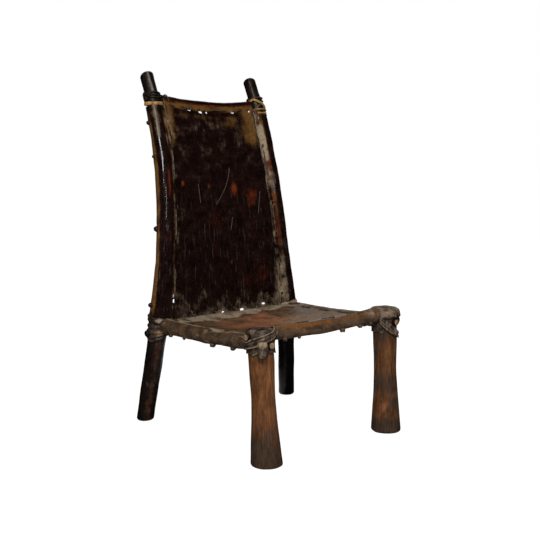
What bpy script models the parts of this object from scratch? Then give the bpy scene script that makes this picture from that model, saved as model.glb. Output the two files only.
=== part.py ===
"""Ethiopian low chair, in metres, +Z up, front towards -Y, origin on the floor under its middle.

Two crooked rear posts and two waisted front legs carry round rails with through tenons. A back
hide and a seat hide of rawhide are folded round the posts and rails as sleeves, and each sleeve is
sewn to its own panel with a running thong. Hide cuffs, caps and straps cover the corner joints.
"""

import collections
import math

import bmesh
import bpy
from mathutils import Matrix, Vector

LEFT = -1
RIGHT = 1
SIDE_NAMES = {LEFT: "left", RIGHT: "right"}
UP = Vector((0, 0, 1))
INF_SMALL = 1e-6

# Finishes: linear colour and roughness
DARK_WOOD = ((0.020, 0.014, 0.011), 0.35)
BROWN_WOOD = ((0.110, 0.042, 0.016), 0.45)
BACK_RAWHIDE = ((0.022, 0.010, 0.008), 0.30)
SEAT_RAWHIDE = ((0.075, 0.036, 0.022), 0.45)
CORNER_RAWHIDE = ((0.085, 0.055, 0.036), 0.60)
THONG_RAWHIDE = ((0.230, 0.140, 0.065), 0.60)

# Fits
CLEARANCE = 0.0003
MORTISE_WALL = 0.003
SLEEVE_EASE = 0.0008
THONG_EASE = 0.0009

# Front legs: places of the foot and head axes, then the waisted outline
FRONT_FLOOR_SPREAD = 0.381
FRONT_FLOOR_Y = -0.2414
FRONT_FLOOR_SKEW = -0.0035
FRONT_SEAT_SPREAD = 0.399
FRONT_SEAT_SHIFT = -0.003
FRONT_SEAT_Y = -0.2289
FRONT_SEAT_SKEW = -0.008
FRONT_LEG_HEIGHT = 0.2960
FRONT_FOOT_RADIUS = 0.0360
FRONT_WAIST_RADIUS = 0.0268
FRONT_WAIST_Z = 0.1535
FRONT_HEAD_RADIUS = 0.0285
FRONT_GIRTH_DIFFERENCE = 0.0012
FOOT_FLARE_POWER = 1.6
FOOT_EDGE = 0.003
HEAD_EDGE = 0.007
EDGE_ROUND = 0.3

# Rear posts: foot, bend at the seat and top, with the stick's radius at each
REAR_FLOOR_SPREAD = 0.4366
REAR_FLOOR_Y = 0.1906
REAR_FLOOR_SKEW = 0.020
REAR_BEND_SPREAD = 0.406
REAR_BEND_SHIFT = 0.0025
REAR_BEND_Y = 0.1581
REAR_BEND_Z = 0.2735
REAR_TOP_SPREAD = 0.325
REAR_TOP_Y = 0.2685
REAR_TOP_Z = 0.8695
RAKE_POWER = 2.7
TAPER_POWER = 2.0
POST_FOOT_RADIUS = 0.0216
POST_BEND_RADIUS = 0.0232
POST_UPPER_RADIUS = 0.0175
POST_TOP_RADIUS = 0.0170
POST_SLIM_SHARE = 0.22
POST_TOP_EDGE = 0.010
POST_TOP_ROUND = math.radians(55)
POST_BELOW_FLOOR = 0.03
POST_FRAME_STEP = 0.01

# Rails and their tenons
RAIL_RADIUS = 0.0130
FRONT_RAIL_RADIUS = 0.0105
TENON_RADIUS = 0.0080
TENON_PROUD = 0.012
SHOULDER_CHAMFER = 0.0006
RAIL_POINTS = 9
FRONT_RAIL_DROP = 0.0095
FRONT_RAIL_SAG = 0.006
SIDE_RAIL_REAR_DROP = 0.0245
SIDE_RAIL_SAG = 0.004
TOP_RAIL_DROP = 0.066
TOP_RAIL_RADIUS = 0.0088
TOP_TENON_RADIUS = 0.0065
TOP_TENON_PROUD = 0.007
TOP_RAIL_SAG = 0.012

# Hides and the sleeves that they form
HIDE_THICKNESS = 0.0024
LAP_GAP = 0.0006
NECK = 0.0015
FLAP = 0.010
SLEEVE_OPENING = math.radians(30)
SLEEVE_STEPS = 8
SLEEVE_FIRST = 2
BACK_ROWS = 11
BACK_INNER_COLUMNS = 6
BACK_INNER_SHARE = 0.07
SEAT_INNER_LINES = 7
BACK_NECK_ANGLE = math.radians(30)
TOP_NECK_ANGLE = math.radians(35)
SEAT_NECK_ANGLE = math.radians(35)
BACK_SLEEVE_LOW_DROP = 0.002
BACK_PANEL_DIP = 0.011
BACK_SLEEVE_TOP_DROP = 0.020
BACK_HOLLOW = 0.010
SEAT_DISH = 0.020
SEAT_REAR_GAP = 0.0035
SEAT_REAR_RISE = 0.004
SEAT_CORNER_MARGIN = 0.0015

# Thongs
THONG_RADIUS = 0.0019
BACK_SEAM_FOOT = 0.0154
BACK_SEAM_HEAD = 0.0077
SEAT_SEAM_INSET = 0.021
BACK_STITCH = 0.080
TOP_STITCH = 0.036
SEAT_STITCH = 0.042
STITCH_INSET = 0.0045
STITCH_RISE = 0.0035
SLIT_LENGTH = 0.0095
LACE_PITCH = 0.065
LACE_EDGE = 0.009
LACE_WRAP_START = math.radians(35)
LACE_WRAP_END = math.radians(-175)
LACE_WRAP_POINTS = 6
LASH_THONG_RADIUS = 0.0022
LASH_PITCH = 0.0052
LASH_TURNS = {LEFT: 2, RIGHT: 3}
LASH_CLIMB_START_SHARE = 0.12
LASH_CLIMB_END_SHARE = 0.42

# Corner coverings
COVER_THICKNESS = 0.0026
CAP_HEIGHT = 0.0525
CAP_EDGE = 0.009
CUFF_MARGIN = 0.0055
STRAP_WIDTH = 0.014
STRAP_LIFT = 0.002
STRAP_START = math.radians(20)
STRAP_END = math.radians(150)
STRAP_RISE_POWER = 1.6
ROLL_ANGLE = math.radians(50)
ROLL_WIDTH = 0.014
ROLL_INNER_RADIUS = 0.0035
ROLL_TURNS = 1.75
ROLL_GAP = 0.0008

# Facets
LEG_POINTS = 12
LOWER_POST_POINTS = 6
UPPER_POST_POINTS = 14
TOP_EDGE_POINTS = 3
CUFF_POINTS = 5
STRAP_POINTS = 14
ROLL_POINTS = 22
LASH_POINTS = 24
POST_SIDES = 4
RAIL_SIDES = 4
THONG_SIDES = 1
TURNED_STEPS = 20

# Heights that follow from the legs and posts
SEAT_RAIL_DROP = 2 * TENON_RADIUS + MORTISE_WALL
FRONT_RAIL_Z = FRONT_LEG_HEIGHT - FRONT_RAIL_DROP
SIDE_RAIL_FRONT_Z = FRONT_RAIL_Z - SEAT_RAIL_DROP
SIDE_RAIL_REAR_Z = REAR_BEND_Z - SIDE_RAIL_REAR_DROP
REAR_RAIL_Z = SIDE_RAIL_REAR_Z - SEAT_RAIL_DROP
TOP_RAIL_Z = REAR_TOP_Z - TOP_RAIL_DROP
BACK_SLEEVE_BOTTOM = REAR_BEND_Z - BACK_SLEEVE_LOW_DROP
BACK_SLEEVE_TOP = TOP_RAIL_Z - BACK_SLEEVE_TOP_DROP
CAP_SKIRT_Z = FRONT_LEG_HEIGHT - CAP_HEIGHT


def clear_scene():
    for item in list(bpy.data.objects):
        bpy.data.objects.remove(item, do_unlink=True)


def new_collection(name):
    group = bpy.data.collections.new(name)
    bpy.context.scene.collection.children.link(group)
    return group


def surface(name, colour, roughness):
    """The material of one piece."""
    made = bpy.data.materials.new(name)
    made.use_nodes = True
    shader = made.node_tree.nodes["Principled BSDF"]
    shader.inputs["Base Color"].default_value = (*colour, 1.0)
    shader.inputs["Roughness"].default_value = roughness
    shader.inputs["Metallic"].default_value = 0.0
    return made


clear_scene()
CHAIR = new_collection("ethiopian_low_chair")
CUTTERS = new_collection("cutters")
CUTTERS.hide_render = True
SLITS = {}
for sheet_name in ("back_hide", "seat_hide"):
    SLITS[sheet_name] = bpy.data.collections.new(sheet_name + "_slits")
    CUTTERS.children.link(SLITS[sheet_name])


def add_object(name, data, finish, group):
    made = bpy.data.objects.new(name, data)
    group.objects.link(made)
    if finish is None:
        made.hide_render = True
        made.display_type = "WIRE"
    else:
        data.materials.append(surface(name, *finish))
    return made


def tube_curve(name, points, radii, resolution, finish, group):
    """A round bar along the points, with a radius for each of them."""
    data = bpy.data.curves.new(name, "CURVE")
    data.dimensions = "3D"
    data.bevel_depth = 1.0
    data.bevel_resolution = resolution
    data.use_fill_caps = True
    spline = data.splines.new("POLY")
    spline.points.add(len(points) - 1)
    for knot, point, radius in zip(spline.points, points, radii):
        knot.co = (*point, 1.0)
        knot.radius = radius
    return add_object(name, data, finish, group)


def evaluated_mesh(item):
    bpy.context.view_layer.update()
    graph = bpy.context.evaluated_depsgraph_get()
    return bpy.data.meshes.new_from_object(item.evaluated_get(graph))


def tube(name, points, radii, resolution, finish=None):
    """The same bar as a closed mesh, which can be cut or can cut."""
    curve = tube_curve(name + "_curve", points, radii, resolution, None, CUTTERS)
    data = evaluated_mesh(curve)
    bpy.data.objects.remove(curve, do_unlink=True)
    close_mesh(data)
    data.name = name
    return add_object(name, data, finish, CUTTERS if finish is None else CHAIR)


def close_mesh(data):
    work = bmesh.new()
    work.from_mesh(data)
    bmesh.ops.remove_doubles(work, verts=work.verts, dist=INF_SMALL)
    bmesh.ops.recalc_face_normals(work, faces=work.faces)
    work.to_mesh(data)
    work.free()
    data.shade_smooth()
    data.set_sharp_from_angle(angle=math.radians(40))


def cut(target, cutter):
    knife = target.modifiers.new("cut_" + cutter.name, "BOOLEAN")
    knife.operation = "DIFFERENCE"
    knife.solver = "EXACT"
    knife.object = cutter


def cut_all(target, group):
    knife = target.modifiers.new("cut_" + group.name, "BOOLEAN")
    knife.operation = "DIFFERENCE"
    knife.solver = "EXACT"
    knife.operand_type = "COLLECTION"
    knife.collection = group


def level_foot(item):
    """Cuts a bar off at the floor."""
    work = bmesh.new()
    work.from_mesh(item.data)
    parts = work.verts[:] + work.edges[:] + work.faces[:]
    bmesh.ops.bisect_plane(work, geom=parts, plane_co=(0, 0, 0), plane_no=(0, 0, 1), clear_inner=True)
    bmesh.ops.holes_fill(work, edges=work.edges, sides=0)
    bmesh.ops.recalc_face_normals(work, faces=work.faces)
    work.to_mesh(item.data)
    work.free()


def turned(name, outline, axis_shift, foot, finish):
    """A profile of (radius, height) turned about a leaning axis that starts at the foot."""
    data = bpy.data.meshes.new(name)
    points = [(radius, 0, height) for radius, height in outline]
    data.from_pydata(points, [(i, i + 1) for i in range(len(points) - 1)], [])
    blank = add_object(name + "_profile", data, None, CUTTERS)
    spin = blank.modifiers.new("turn", "SCREW")
    spin.steps = TURNED_STEPS
    spin.render_steps = TURNED_STEPS
    spin.use_merge_vertices = True
    spin.merge_threshold = 0.0001
    solid = evaluated_mesh(blank)
    bpy.data.objects.remove(blank, do_unlink=True)
    lean = Matrix.Identity(4)
    lean[0][2] = axis_shift.x
    lean[1][2] = axis_shift.y
    solid.transform(Matrix.Translation(foot) @ lean)
    close_mesh(solid)
    solid.name = name
    return add_object(name, solid, finish, CUTTERS if finish is None else CHAIR)


# Places on the frame

def front_foot(side):
    return Vector((side * FRONT_FLOOR_SPREAD / 2, FRONT_FLOOR_Y - side * FRONT_FLOOR_SKEW, 0))


def front_lean(side):
    """How far the leg's axis moves in x and y for each metre of height."""
    head = Vector((side * FRONT_SEAT_SPREAD / 2 + FRONT_SEAT_SHIFT, FRONT_SEAT_Y - side * FRONT_SEAT_SKEW, 0))
    return (head - front_foot(side)) / FRONT_LEG_HEIGHT


def front_axis(side, z):
    return front_foot(side) + front_lean(side) * z + UP * z


def front_extra(side):
    return side * FRONT_GIRTH_DIFFERENCE / 2


def head_radius(side):
    return FRONT_HEAD_RADIUS + front_extra(side)


def front_radius(side, z):
    below = max(0.0, (FRONT_WAIST_Z - z) / FRONT_WAIST_Z)
    above = min(1.0, max(0.0, (z - FRONT_WAIST_Z) / (CAP_SKIRT_Z - FRONT_WAIST_Z)))
    flare = (FRONT_FOOT_RADIUS - FRONT_WAIST_RADIUS) * below ** FOOT_FLARE_POWER
    swell = (FRONT_HEAD_RADIUS - FRONT_WAIST_RADIUS) * above * above * (3 - 2 * above)
    return FRONT_WAIST_RADIUS + flare + swell + front_extra(side)


def post_center(side, z):
    """The crooked stick: straight to the bend at the seat, then raked back and drawn in."""
    bend = Vector((side * REAR_BEND_SPREAD / 2 + REAR_BEND_SHIFT, REAR_BEND_Y, z))
    if z <= REAR_BEND_Z:
        foot = Vector((side * REAR_FLOOR_SPREAD / 2, REAR_FLOOR_Y - side * REAR_FLOOR_SKEW, z))
        return foot.lerp(bend, z / REAR_BEND_Z)
    share = (z - REAR_BEND_Z) / (REAR_TOP_Z - REAR_BEND_Z)
    drawn_in = (REAR_BEND_SPREAD - REAR_TOP_SPREAD) / 2 * (1 - (1 - share) ** TAPER_POWER)
    raked = (REAR_TOP_Y - REAR_BEND_Y) * share ** RAKE_POWER
    return bend + Vector((-side * drawn_in - REAR_BEND_SHIFT * share, raked, 0))


def post_radius(z):
    if z <= REAR_BEND_Z:
        share = max(0.0, z) / REAR_BEND_Z
        return POST_FOOT_RADIUS + (POST_BEND_RADIUS - POST_FOOT_RADIUS) * share
    share = (z - REAR_BEND_Z) / (REAR_TOP_Z - REAR_BEND_Z)
    if share < POST_SLIM_SHARE:
        return POST_BEND_RADIUS + (POST_UPPER_RADIUS - POST_BEND_RADIUS) * share / POST_SLIM_SHARE
    rest = (share - POST_SLIM_SHARE) / (1 - POST_SLIM_SHARE)
    return POST_UPPER_RADIUS + (POST_TOP_RADIUS - POST_UPPER_RADIUS) * rest


def post_frame(side, z):
    """Centre of the post, the way in along the back and the way out of its front face."""
    run = (post_center(side, z + POST_FRAME_STEP) - post_center(side, z - POST_FRAME_STEP)).normalized()
    inward = Vector((-side, 0, 0))
    inward = (inward - run * inward.dot(run)).normalized()
    front = run.cross(inward) * side
    return post_center(side, z), inward, front.normalized()


def span(start, end, count):
    return [start + (end - start) * i / (count - 1) for i in range(count)]


# Posts, legs and rails

def make_post(side, cutters):
    """The crooked stick with a rounded top, its foot sawn off level and its mortises cut."""
    edge = REAR_TOP_Z - POST_TOP_EDGE
    heights = span(-POST_BELOW_FLOOR, REAR_BEND_Z, LOWER_POST_POINTS)
    heights += span(REAR_BEND_Z, edge, UPPER_POST_POINTS)[1:]
    radii = [post_radius(z) for z in heights]
    for lean in span(0.0, POST_TOP_ROUND, TOP_EDGE_POINTS)[1:]:
        heights.append(edge + POST_TOP_EDGE * math.sin(lean) / math.sin(POST_TOP_ROUND))
        radii.append(POST_TOP_RADIUS * math.cos(lean))
    points = [post_center(side, z) for z in heights]
    post = tube("rear_post_" + SIDE_NAMES[side], points, radii, POST_SIDES, DARK_WOOD)
    level_foot(post)
    for cutter in cutters:
        cut(post, cutter)


def front_leg_outline(side):
    head = head_radius(side)
    top = FRONT_LEG_HEIGHT
    outline = [(0, top), (head - HEAD_EDGE, top), (head - HEAD_EDGE * EDGE_ROUND, top - HEAD_EDGE * EDGE_ROUND)]
    outline.append((head, top - HEAD_EDGE))
    outline += [(front_radius(side, z), z) for z in span(CAP_SKIRT_Z, FOOT_EDGE, LEG_POINTS)]
    outline += [(front_radius(side, 0) - FOOT_EDGE, 0), (0, 0)]
    return outline


def make_front_leg(side, cutters):
    name = "front_leg_" + SIDE_NAMES[side]
    leg = turned(name, front_leg_outline(side), front_lean(side), front_foot(side), BROWN_WOOD)
    for cutter in cutters:
        cut(leg, cutter)


Rail = collections.namedtuple("Rail", "start end hold_start hold_end body tenon proud sag")


def rail_center(rail, along):
    """Centre of a rail at a share of the way between the axes that it joins."""
    length = (rail.end - rail.start).length
    free = length - rail.hold_start - rail.hold_end
    share = min(1.0, max(0.0, (along * length - rail.hold_start) / free))
    return rail.start.lerp(rail.end, along) - UP * rail.sag * 4 * share * (1 - share)


def rail_shape(rail, margin):
    """Points and radii of a rail whose tenons pass right through what holds it at each end."""
    length = (rail.end - rail.start).length
    way = (rail.end - rail.start) / length
    near = (rail.hold_start + 2 * CLEARANCE - margin) / length
    far = 1 - (rail.hold_end + 2 * CLEARANCE - margin) / length
    chamfer = SHOULDER_CHAMFER / length
    points = [rail.start - way * (rail.hold_start + rail.proud), rail_center(rail, near)]
    points += [rail_center(rail, along) for along in span(near + chamfer, far - chamfer, RAIL_POINTS)]
    points += [rail_center(rail, far), rail.end + way * (rail.hold_end + rail.proud)]
    radii = [rail.tenon] * 2 + [rail.body] * RAIL_POINTS + [rail.tenon] * 2
    return points, [radius + margin for radius in radii]


def make_rail(name, rail):
    """Makes the rail and returns the cutter of its mortises."""
    tube(name, *rail_shape(rail, 0.0), RAIL_SIDES, DARK_WOOD)
    return tube(name + "_mortise", *rail_shape(rail, CLEARANCE), RAIL_SIDES)


def side_rail(side):
    start = front_axis(side, SIDE_RAIL_FRONT_Z)
    end = post_center(side, SIDE_RAIL_REAR_Z)
    holds = (head_radius(side), post_radius(SIDE_RAIL_REAR_Z))
    return Rail(start, end, *holds, RAIL_RADIUS, TENON_RADIUS, TENON_PROUD, SIDE_RAIL_SAG)


def front_rail():
    start = front_axis(LEFT, FRONT_RAIL_Z)
    end = front_axis(RIGHT, FRONT_RAIL_Z)
    holds = (head_radius(LEFT), head_radius(RIGHT))
    return Rail(start, end, *holds, FRONT_RAIL_RADIUS, TENON_RADIUS, TENON_PROUD, FRONT_RAIL_SAG)


def rear_rail():
    hold = post_radius(REAR_RAIL_Z)
    start, end = (post_center(side, REAR_RAIL_Z) for side in (LEFT, RIGHT))
    return Rail(start, end, hold, hold, RAIL_RADIUS, TENON_RADIUS, TENON_PROUD, 0.0)


def top_rail():
    hold = post_radius(TOP_RAIL_Z)
    start, end = (post_center(side, TOP_RAIL_Z) for side in (LEFT, RIGHT))
    return Rail(start, end, hold, hold, TOP_RAIL_RADIUS, TOP_TENON_RADIUS, TOP_TENON_PROUD, TOP_RAIL_SAG)


def make_rails():
    """The five rails, and for each the cutter of its mortises."""
    mortises = {side: make_rail("seat_rail_" + label, side_rail(side)) for side, label in SIDE_NAMES.items()}
    mortises["front"] = make_rail("seat_rail_front", front_rail())
    mortises["rear"] = make_rail("seat_rail_rear", rear_rail())
    mortises["top"] = make_rail("back_top_rail", top_rail())
    return mortises


# Hides: a panel of points, with sleeves folded round the bars along its edges

LAYER = HIDE_THICKNESS + LAP_GAP


def sleeve_radius(bar):
    """Radius of the middle of the hide at the corners of its facets, which lie clear of the bar."""
    half_step = (math.pi - SLEEVE_OPENING) / SLEEVE_STEPS
    return (bar + SLEEVE_EASE + HIDE_THICKNESS / 2) / math.cos(half_step)


def sleeve_points(neck, inner, center, radius, lap_side):
    """From the panel's edge round the bar and back to the panel's other face, as a flap."""
    flap_neck = neck + lap_side * LAYER
    ahead = ((neck + flap_neck) / 2 - center).normalized()
    across = (lap_side - ahead * lap_side.dot(ahead)).normalized()
    points = []
    for angle in span(SLEEVE_OPENING, 2 * math.pi - SLEEVE_OPENING, SLEEVE_STEPS + 1):
        points.append(center + (ahead * math.cos(angle) - across * math.sin(angle)) * radius)
    lead = (inner - neck).normalized()
    return points + [flap_neck, flap_neck + lead * FLAP]


def make_hide(name, grid, sleeves, finish):
    """Sews the panel's grid and its sleeves into one sheet and gives it its thickness."""
    work = bmesh.new()
    panel = [[work.verts.new(point) for point in column] for column in grid]
    strips = [panel]
    for sleeve in sleeves:
        strips.append([[edge] + [work.verts.new(p) for p in points] for edge, points in sleeve(panel)])
    for strip in strips:
        for one, two in zip(strip, strip[1:]):
            for a, b, c, d in zip(one, one[1:], two[1:], two):
                work.faces.new((a, b, c, d))
    bmesh.ops.recalc_face_normals(work, faces=work.faces)
    data = bpy.data.meshes.new(name)
    work.to_mesh(data)
    work.free()
    data.shade_smooth()
    sheet = add_object(name, data, finish, CHAIR)
    wall = sheet.modifiers.new("thickness", "SOLIDIFY")
    wall.thickness = HIDE_THICKNESS
    wall.offset = 0.0
    wall.use_even_offset = True
    return sheet


# Back hide

def back_neck(side, z):
    """Where the back's two layers meet beside the post, between them, and the post's directions."""
    center, inward, front = post_frame(side, z)
    ahead = inward * math.cos(BACK_NECK_ANGLE) + front * math.sin(BACK_NECK_ANGLE)
    return center + ahead * (sleeve_radius(post_radius(z)) + NECK), inward, front


def top_center(share):
    """Centre of the top rail at a share of the way from the left neck to the right one."""
    rail = top_rail()
    edge = [back_neck(side, BACK_SLEEVE_TOP)[0].x for side in (LEFT, RIGHT)]
    x = edge[0] + (edge[1] - edge[0]) * share
    return rail_center(rail, (x - rail.start.x) / (rail.end.x - rail.start.x))


def top_neck(share):
    center = top_center(share)
    front = post_frame(LEFT, BACK_SLEEVE_TOP)[2]
    down = Vector((1, 0, 0)).cross(front)
    down = down if down.z < 0 else -down
    ahead = down * math.cos(TOP_NECK_ANGLE) + front * math.sin(TOP_NECK_ANGLE)
    return center + ahead * (sleeve_radius(TOP_RAIL_RADIUS) + NECK), down, front


def back_row_height(share):
    return BACK_SLEEVE_BOTTOM + (BACK_SLEEVE_TOP - BACK_SLEEVE_BOTTOM) * share


def back_panel(across, up):
    """Middle of the back panel's front layer, by shares across and up."""
    z = back_row_height(up)
    left, _, front = back_neck(LEFT, z)
    right = back_neck(RIGHT, z)[0]
    point = left.lerp(right, across) - front * LAYER / 2
    swell = math.sin(math.pi * across)
    return point - front * BACK_HOLLOW * swell * math.sin(math.pi * up) - UP * BACK_PANEL_DIP * swell * (1 - up) ** 4


def back_columns():
    width = back_neck(RIGHT, BACK_SLEEVE_BOTTOM)[0].x - back_neck(LEFT, BACK_SLEEVE_BOTTOM)[0].x
    edge = (FLAP + HIDE_THICKNESS) / width
    inner = span(BACK_INNER_SHARE, 1 - BACK_INNER_SHARE, BACK_INNER_COLUMNS)
    return [0.0, edge] + inner + [1.0 - edge, 1.0]


def back_grid():
    columns = back_columns()
    heights = span(0.0, 1.0, BACK_ROWS)
    grid = [[back_panel(across, up) for up in heights] for across in columns]
    for index in range(SLEEVE_FIRST, len(columns) - SLEEVE_FIRST):
        neck, _, front = top_neck(columns[index])
        grid[index][-1] = neck + front * LAYER / 2
    return columns, heights, grid


def make_back_hide():
    columns, heights, grid = back_grid()

    def post_sleeve(side):
        edge = 0 if side == LEFT else -1
        inner = 1 if side == LEFT else -2

        def fold(panel):
            for row, up in enumerate(heights):
                z = back_row_height(up)
                center, _, front = post_frame(side, z)
                radius = sleeve_radius(post_radius(z))
                yield panel[edge][row], sleeve_points(grid[edge][row], grid[inner][row], center, radius, front)
        return fold

    def top_sleeve(panel):
        for index in range(SLEEVE_FIRST, len(columns) - SLEEVE_FIRST):
            _, _, front = top_neck(columns[index])
            center = top_center(columns[index])
            radius = sleeve_radius(TOP_RAIL_RADIUS)
            yield panel[index][-1], sleeve_points(grid[index][-1], grid[index][-2], center, radius, -front)

    sheet = make_hide("back_hide", grid, [post_sleeve(LEFT), post_sleeve(RIGHT), top_sleeve], BACK_RAWHIDE)
    cut_all(sheet, SLITS["back_hide"])


# Seat hide

def level_inward(rail):
    """The level direction square to a seat rail that points to the seat's middle."""
    way = (rail.end - rail.start).normalized()
    square = Vector((way.y, -way.x, 0)).normalized()
    return square if square.dot(rail.start) < 0 else -square


def neck_reach(rail):
    """How far the seat's neck lies from a rail's axis, level and up."""
    reach = sleeve_radius(rail.body) + NECK
    return reach * math.cos(SEAT_NECK_ANGLE), reach * math.sin(SEAT_NECK_ANGLE)


def seat_neck_height(rail, point):
    return rail_center(rail, share_on(rail, point)).z + neck_reach(rail)[1]


def share_on(rail, point):
    """How far along a rail a point of the plan lies, from 0 to 1."""
    way = rail.end - rail.start
    flat = Vector((way.x, way.y, 0))
    return (point - rail.start).dot(flat) / flat.dot(flat)


def seat_rear_y():
    return back_panel(0.5, 0.0).y - HIDE_THICKNESS - SEAT_REAR_GAP


def seat_rear_z():
    return back_panel(0.5, 0.0).z + SEAT_REAR_RISE


def seat_corner(side, rear):
    """Where the neck lines along two edges cross in plan."""
    rail = side_rail(side)
    offset = level_inward(rail) * neck_reach(rail)[0]
    start, end = rail.start + offset, rail.end + offset
    if rear:
        return start.lerp(end, (seat_rear_y() - start.y) / (end.y - start.y))
    front = front_rail()
    along = (start.x - front.start.x) / (front.end.x - front.start.x)
    level = front.start.lerp(front.end, along) + level_inward(front) * neck_reach(front)[0]
    return start.lerp(end, (level.y - start.y) / (end.y - start.y))


def seat_plan(across, back):
    near = seat_corner(LEFT, False).lerp(seat_corner(RIGHT, False), across)
    far = seat_corner(LEFT, True).lerp(seat_corner(RIGHT, True), across)
    return near.lerp(far, back)


def seat_edge_heights(point):
    """Heights of the four edges opposite a point of the plan: left, right, front and rear."""
    rails = (side_rail(LEFT), side_rail(RIGHT), front_rail())
    return [seat_neck_height(rail, point) for rail in rails] + [seat_rear_z()]


def seat_panel(across, back):
    """Middle of the seat's upper layer: it meets each edge at its height and is dished between them."""
    point = seat_plan(across, back)
    width = (seat_plan(1, back) - seat_plan(0, back)).length
    depth = (seat_plan(across, 1) - seat_plan(across, 0)).length
    reach = [across * width, (1 - across) * width, back * depth, (1 - back) * depth]
    weights = [1 / max(INF_SMALL, distance) ** 2 for distance in reach]
    heights = seat_edge_heights(point)
    point.z = sum(w * z for w, z in zip(weights, heights)) / sum(weights)
    edge = FLAP + HIDE_THICKNESS
    ease = 1.0
    for near, far, length in ((reach[0], reach[1], width), (reach[2], reach[3], depth)):
        ease *= math.sin(math.pi * max(0.0, min(near, far) - edge) / (length - 2 * edge))
    return point + UP * (LAYER / 2 - SEAT_DISH * ease)


def seat_shares(length, front_start, rear_start):
    """Grid lines: each edge, the end of its flap, where the sleeves start beside a corner, and between."""
    edge = (FLAP + HIDE_THICKNESS) / length
    start, end = front_start / length, 1 - rear_start / length
    last = [1 - edge, 1.0] if end < 1 - edge else [1.0]
    return [0.0, edge] + span(start, end, SEAT_INNER_LINES) + last


def seat_grid():
    beside_cap = cap_radius(RIGHT, CAP_SKIRT_Z) + SEAT_CORNER_MARGIN
    beside_side = beside_cap - neck_reach(side_rail(RIGHT))[0]
    beside_front = beside_cap - neck_reach(front_rail())[0]
    width = (seat_plan(1, 0.5) - seat_plan(0, 0.5)).length
    depth = (seat_plan(0.5, 1) - seat_plan(0.5, 0)).length
    columns = seat_shares(width, beside_side, beside_side)
    rows = seat_shares(depth, beside_front, FLAP + HIDE_THICKNESS)
    return columns, rows, [[seat_panel(across, back) for back in rows] for across in columns]


def make_seat_hide(cutters):
    columns, rows, grid = seat_grid()

    def side_sleeve(side):
        edge = 0 if side == LEFT else -1
        inner = 1 if side == LEFT else -2
        rail = side_rail(side)

        def fold(panel):
            for row in range(SLEEVE_FIRST, len(rows) - 1):
                neck = grid[edge][row]
                center = rail_center(rail, share_on(rail, neck))
                yield panel[edge][row], sleeve_points(neck, grid[inner][row], center, sleeve_radius(rail.body), -UP)
        return fold

    def front_sleeve(panel):
        rail = front_rail()
        for index in range(SLEEVE_FIRST, len(columns) - SLEEVE_FIRST):
            column = grid[index]
            center = rail_center(rail, share_on(rail, column[0]))
            yield panel[index][0], sleeve_points(column[0], column[1], center, sleeve_radius(rail.body), -UP)

    sheet = make_hide("seat_hide", grid, [side_sleeve(LEFT), side_sleeve(RIGHT), front_sleeve], SEAT_RAWHIDE)
    for cutter in cutters:
        cut(sheet, cutter)
    cut_all(sheet, SLITS["seat_hide"])


# Thongs

STRAND_RISE = LAYER / 2 + HIDE_THICKNESS / 2 + THONG_RADIUS + THONG_EASE


def slit(sheet_name, place, along, through):
    """Adds a cutter for one slit through the layers of a hide."""
    bpy.ops.mesh.primitive_cube_add(size=1.0)
    blade = bpy.context.object
    blade.name = sheet_name + "_slit"
    side = through.cross(along).normalized()
    turn = Matrix((along, side, through)).transposed().to_4x4()
    size = Matrix.Diagonal((SLIT_LENGTH, 2 * (THONG_RADIUS + CLEARANCE), 4 * STRAND_RISE, 1.0))
    blade.data.transform(Matrix.Translation(place) @ turn @ size)
    for group in list(blade.users_collection):
        group.objects.unlink(blade)
    SLITS[sheet_name].objects.link(blade)
    blade.hide_render = True
    blade.display_type = "WIRE"


def running_stitch(name, seam, length, pitch, sheet_name):
    """One thong sewn along a seam, over and under; seam(share) gives a point and the flap's side."""
    count = max(2, round(length / pitch))
    holes = span(pitch / 2 / length, 1 - pitch / 2 / length, count)
    step = STITCH_RISE / length
    points = []
    face = -1
    for index, share in enumerate(holes):
        before, place, after = (seam(min(1.0, max(0.0, share + shift))) for shift in (-step, 0, step))
        along = (after[0] - before[0]).normalized()
        slit(sheet_name, place[0], along, place[1])
        points.append(before[0] + before[1] * face * STRAND_RISE)
        points.append(place[0] + place[1] * face * LAYER / 2)
        points.append(place[0] - place[1] * face * LAYER / 2)
        points.append(after[0] - after[1] * face * STRAND_RISE)
        face = -face
        if index + 1 < count:
            middle = seam((share + holes[index + 1]) / 2)
            points.append(middle[0] + middle[1] * face * STRAND_RISE)
    first, last = seam(0.0), seam(1.0)
    points.insert(0, first[0] - first[1] * STRAND_RISE)
    points.append(last[0] + last[1] * face * STRAND_RISE)
    tube_curve(name, points, [THONG_RADIUS] * len(points), THONG_SIDES, THONG_RAWHIDE, CHAIR)


def back_seam(side):
    """The seam beside a post; with it, its length."""
    low = BACK_SLEEVE_BOTTOM + BACK_SEAM_FOOT
    length = BACK_SLEEVE_TOP - BACK_SEAM_HEAD - low

    def seam(share):
        neck, inward, front = back_neck(side, low + length * share)
        return neck + inward * STITCH_INSET, front
    return seam, length


def top_seam():
    columns = back_columns()
    low, high = columns[SLEEVE_FIRST], columns[-1 - SLEEVE_FIRST]

    def seam(share):
        neck, down, front = top_neck(low + (high - low) * share)
        return neck + down * STITCH_INSET, -front
    return seam, (top_center(high) - top_center(low)).length


def between(shares, points, share):
    """The place at a share along a row of grid points, on the straight line between two of them."""
    for low, high, start, end in zip(shares, shares[1:], points, points[1:]):
        if share <= high:
            return start.lerp(end, (share - low) / (high - low))
    return points[-1]


def grid_seam(shares, edge, inner, first, last):
    """A seam on the strip of the seat between two rows of grid points; with it, its length."""
    def seam(share):
        place = first + (last - first) * share
        return seam_point(between(shares, edge, place), between(shares, inner, place))
    return seam, (seam(1.0)[0] - seam(0.0)[0]).length


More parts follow.
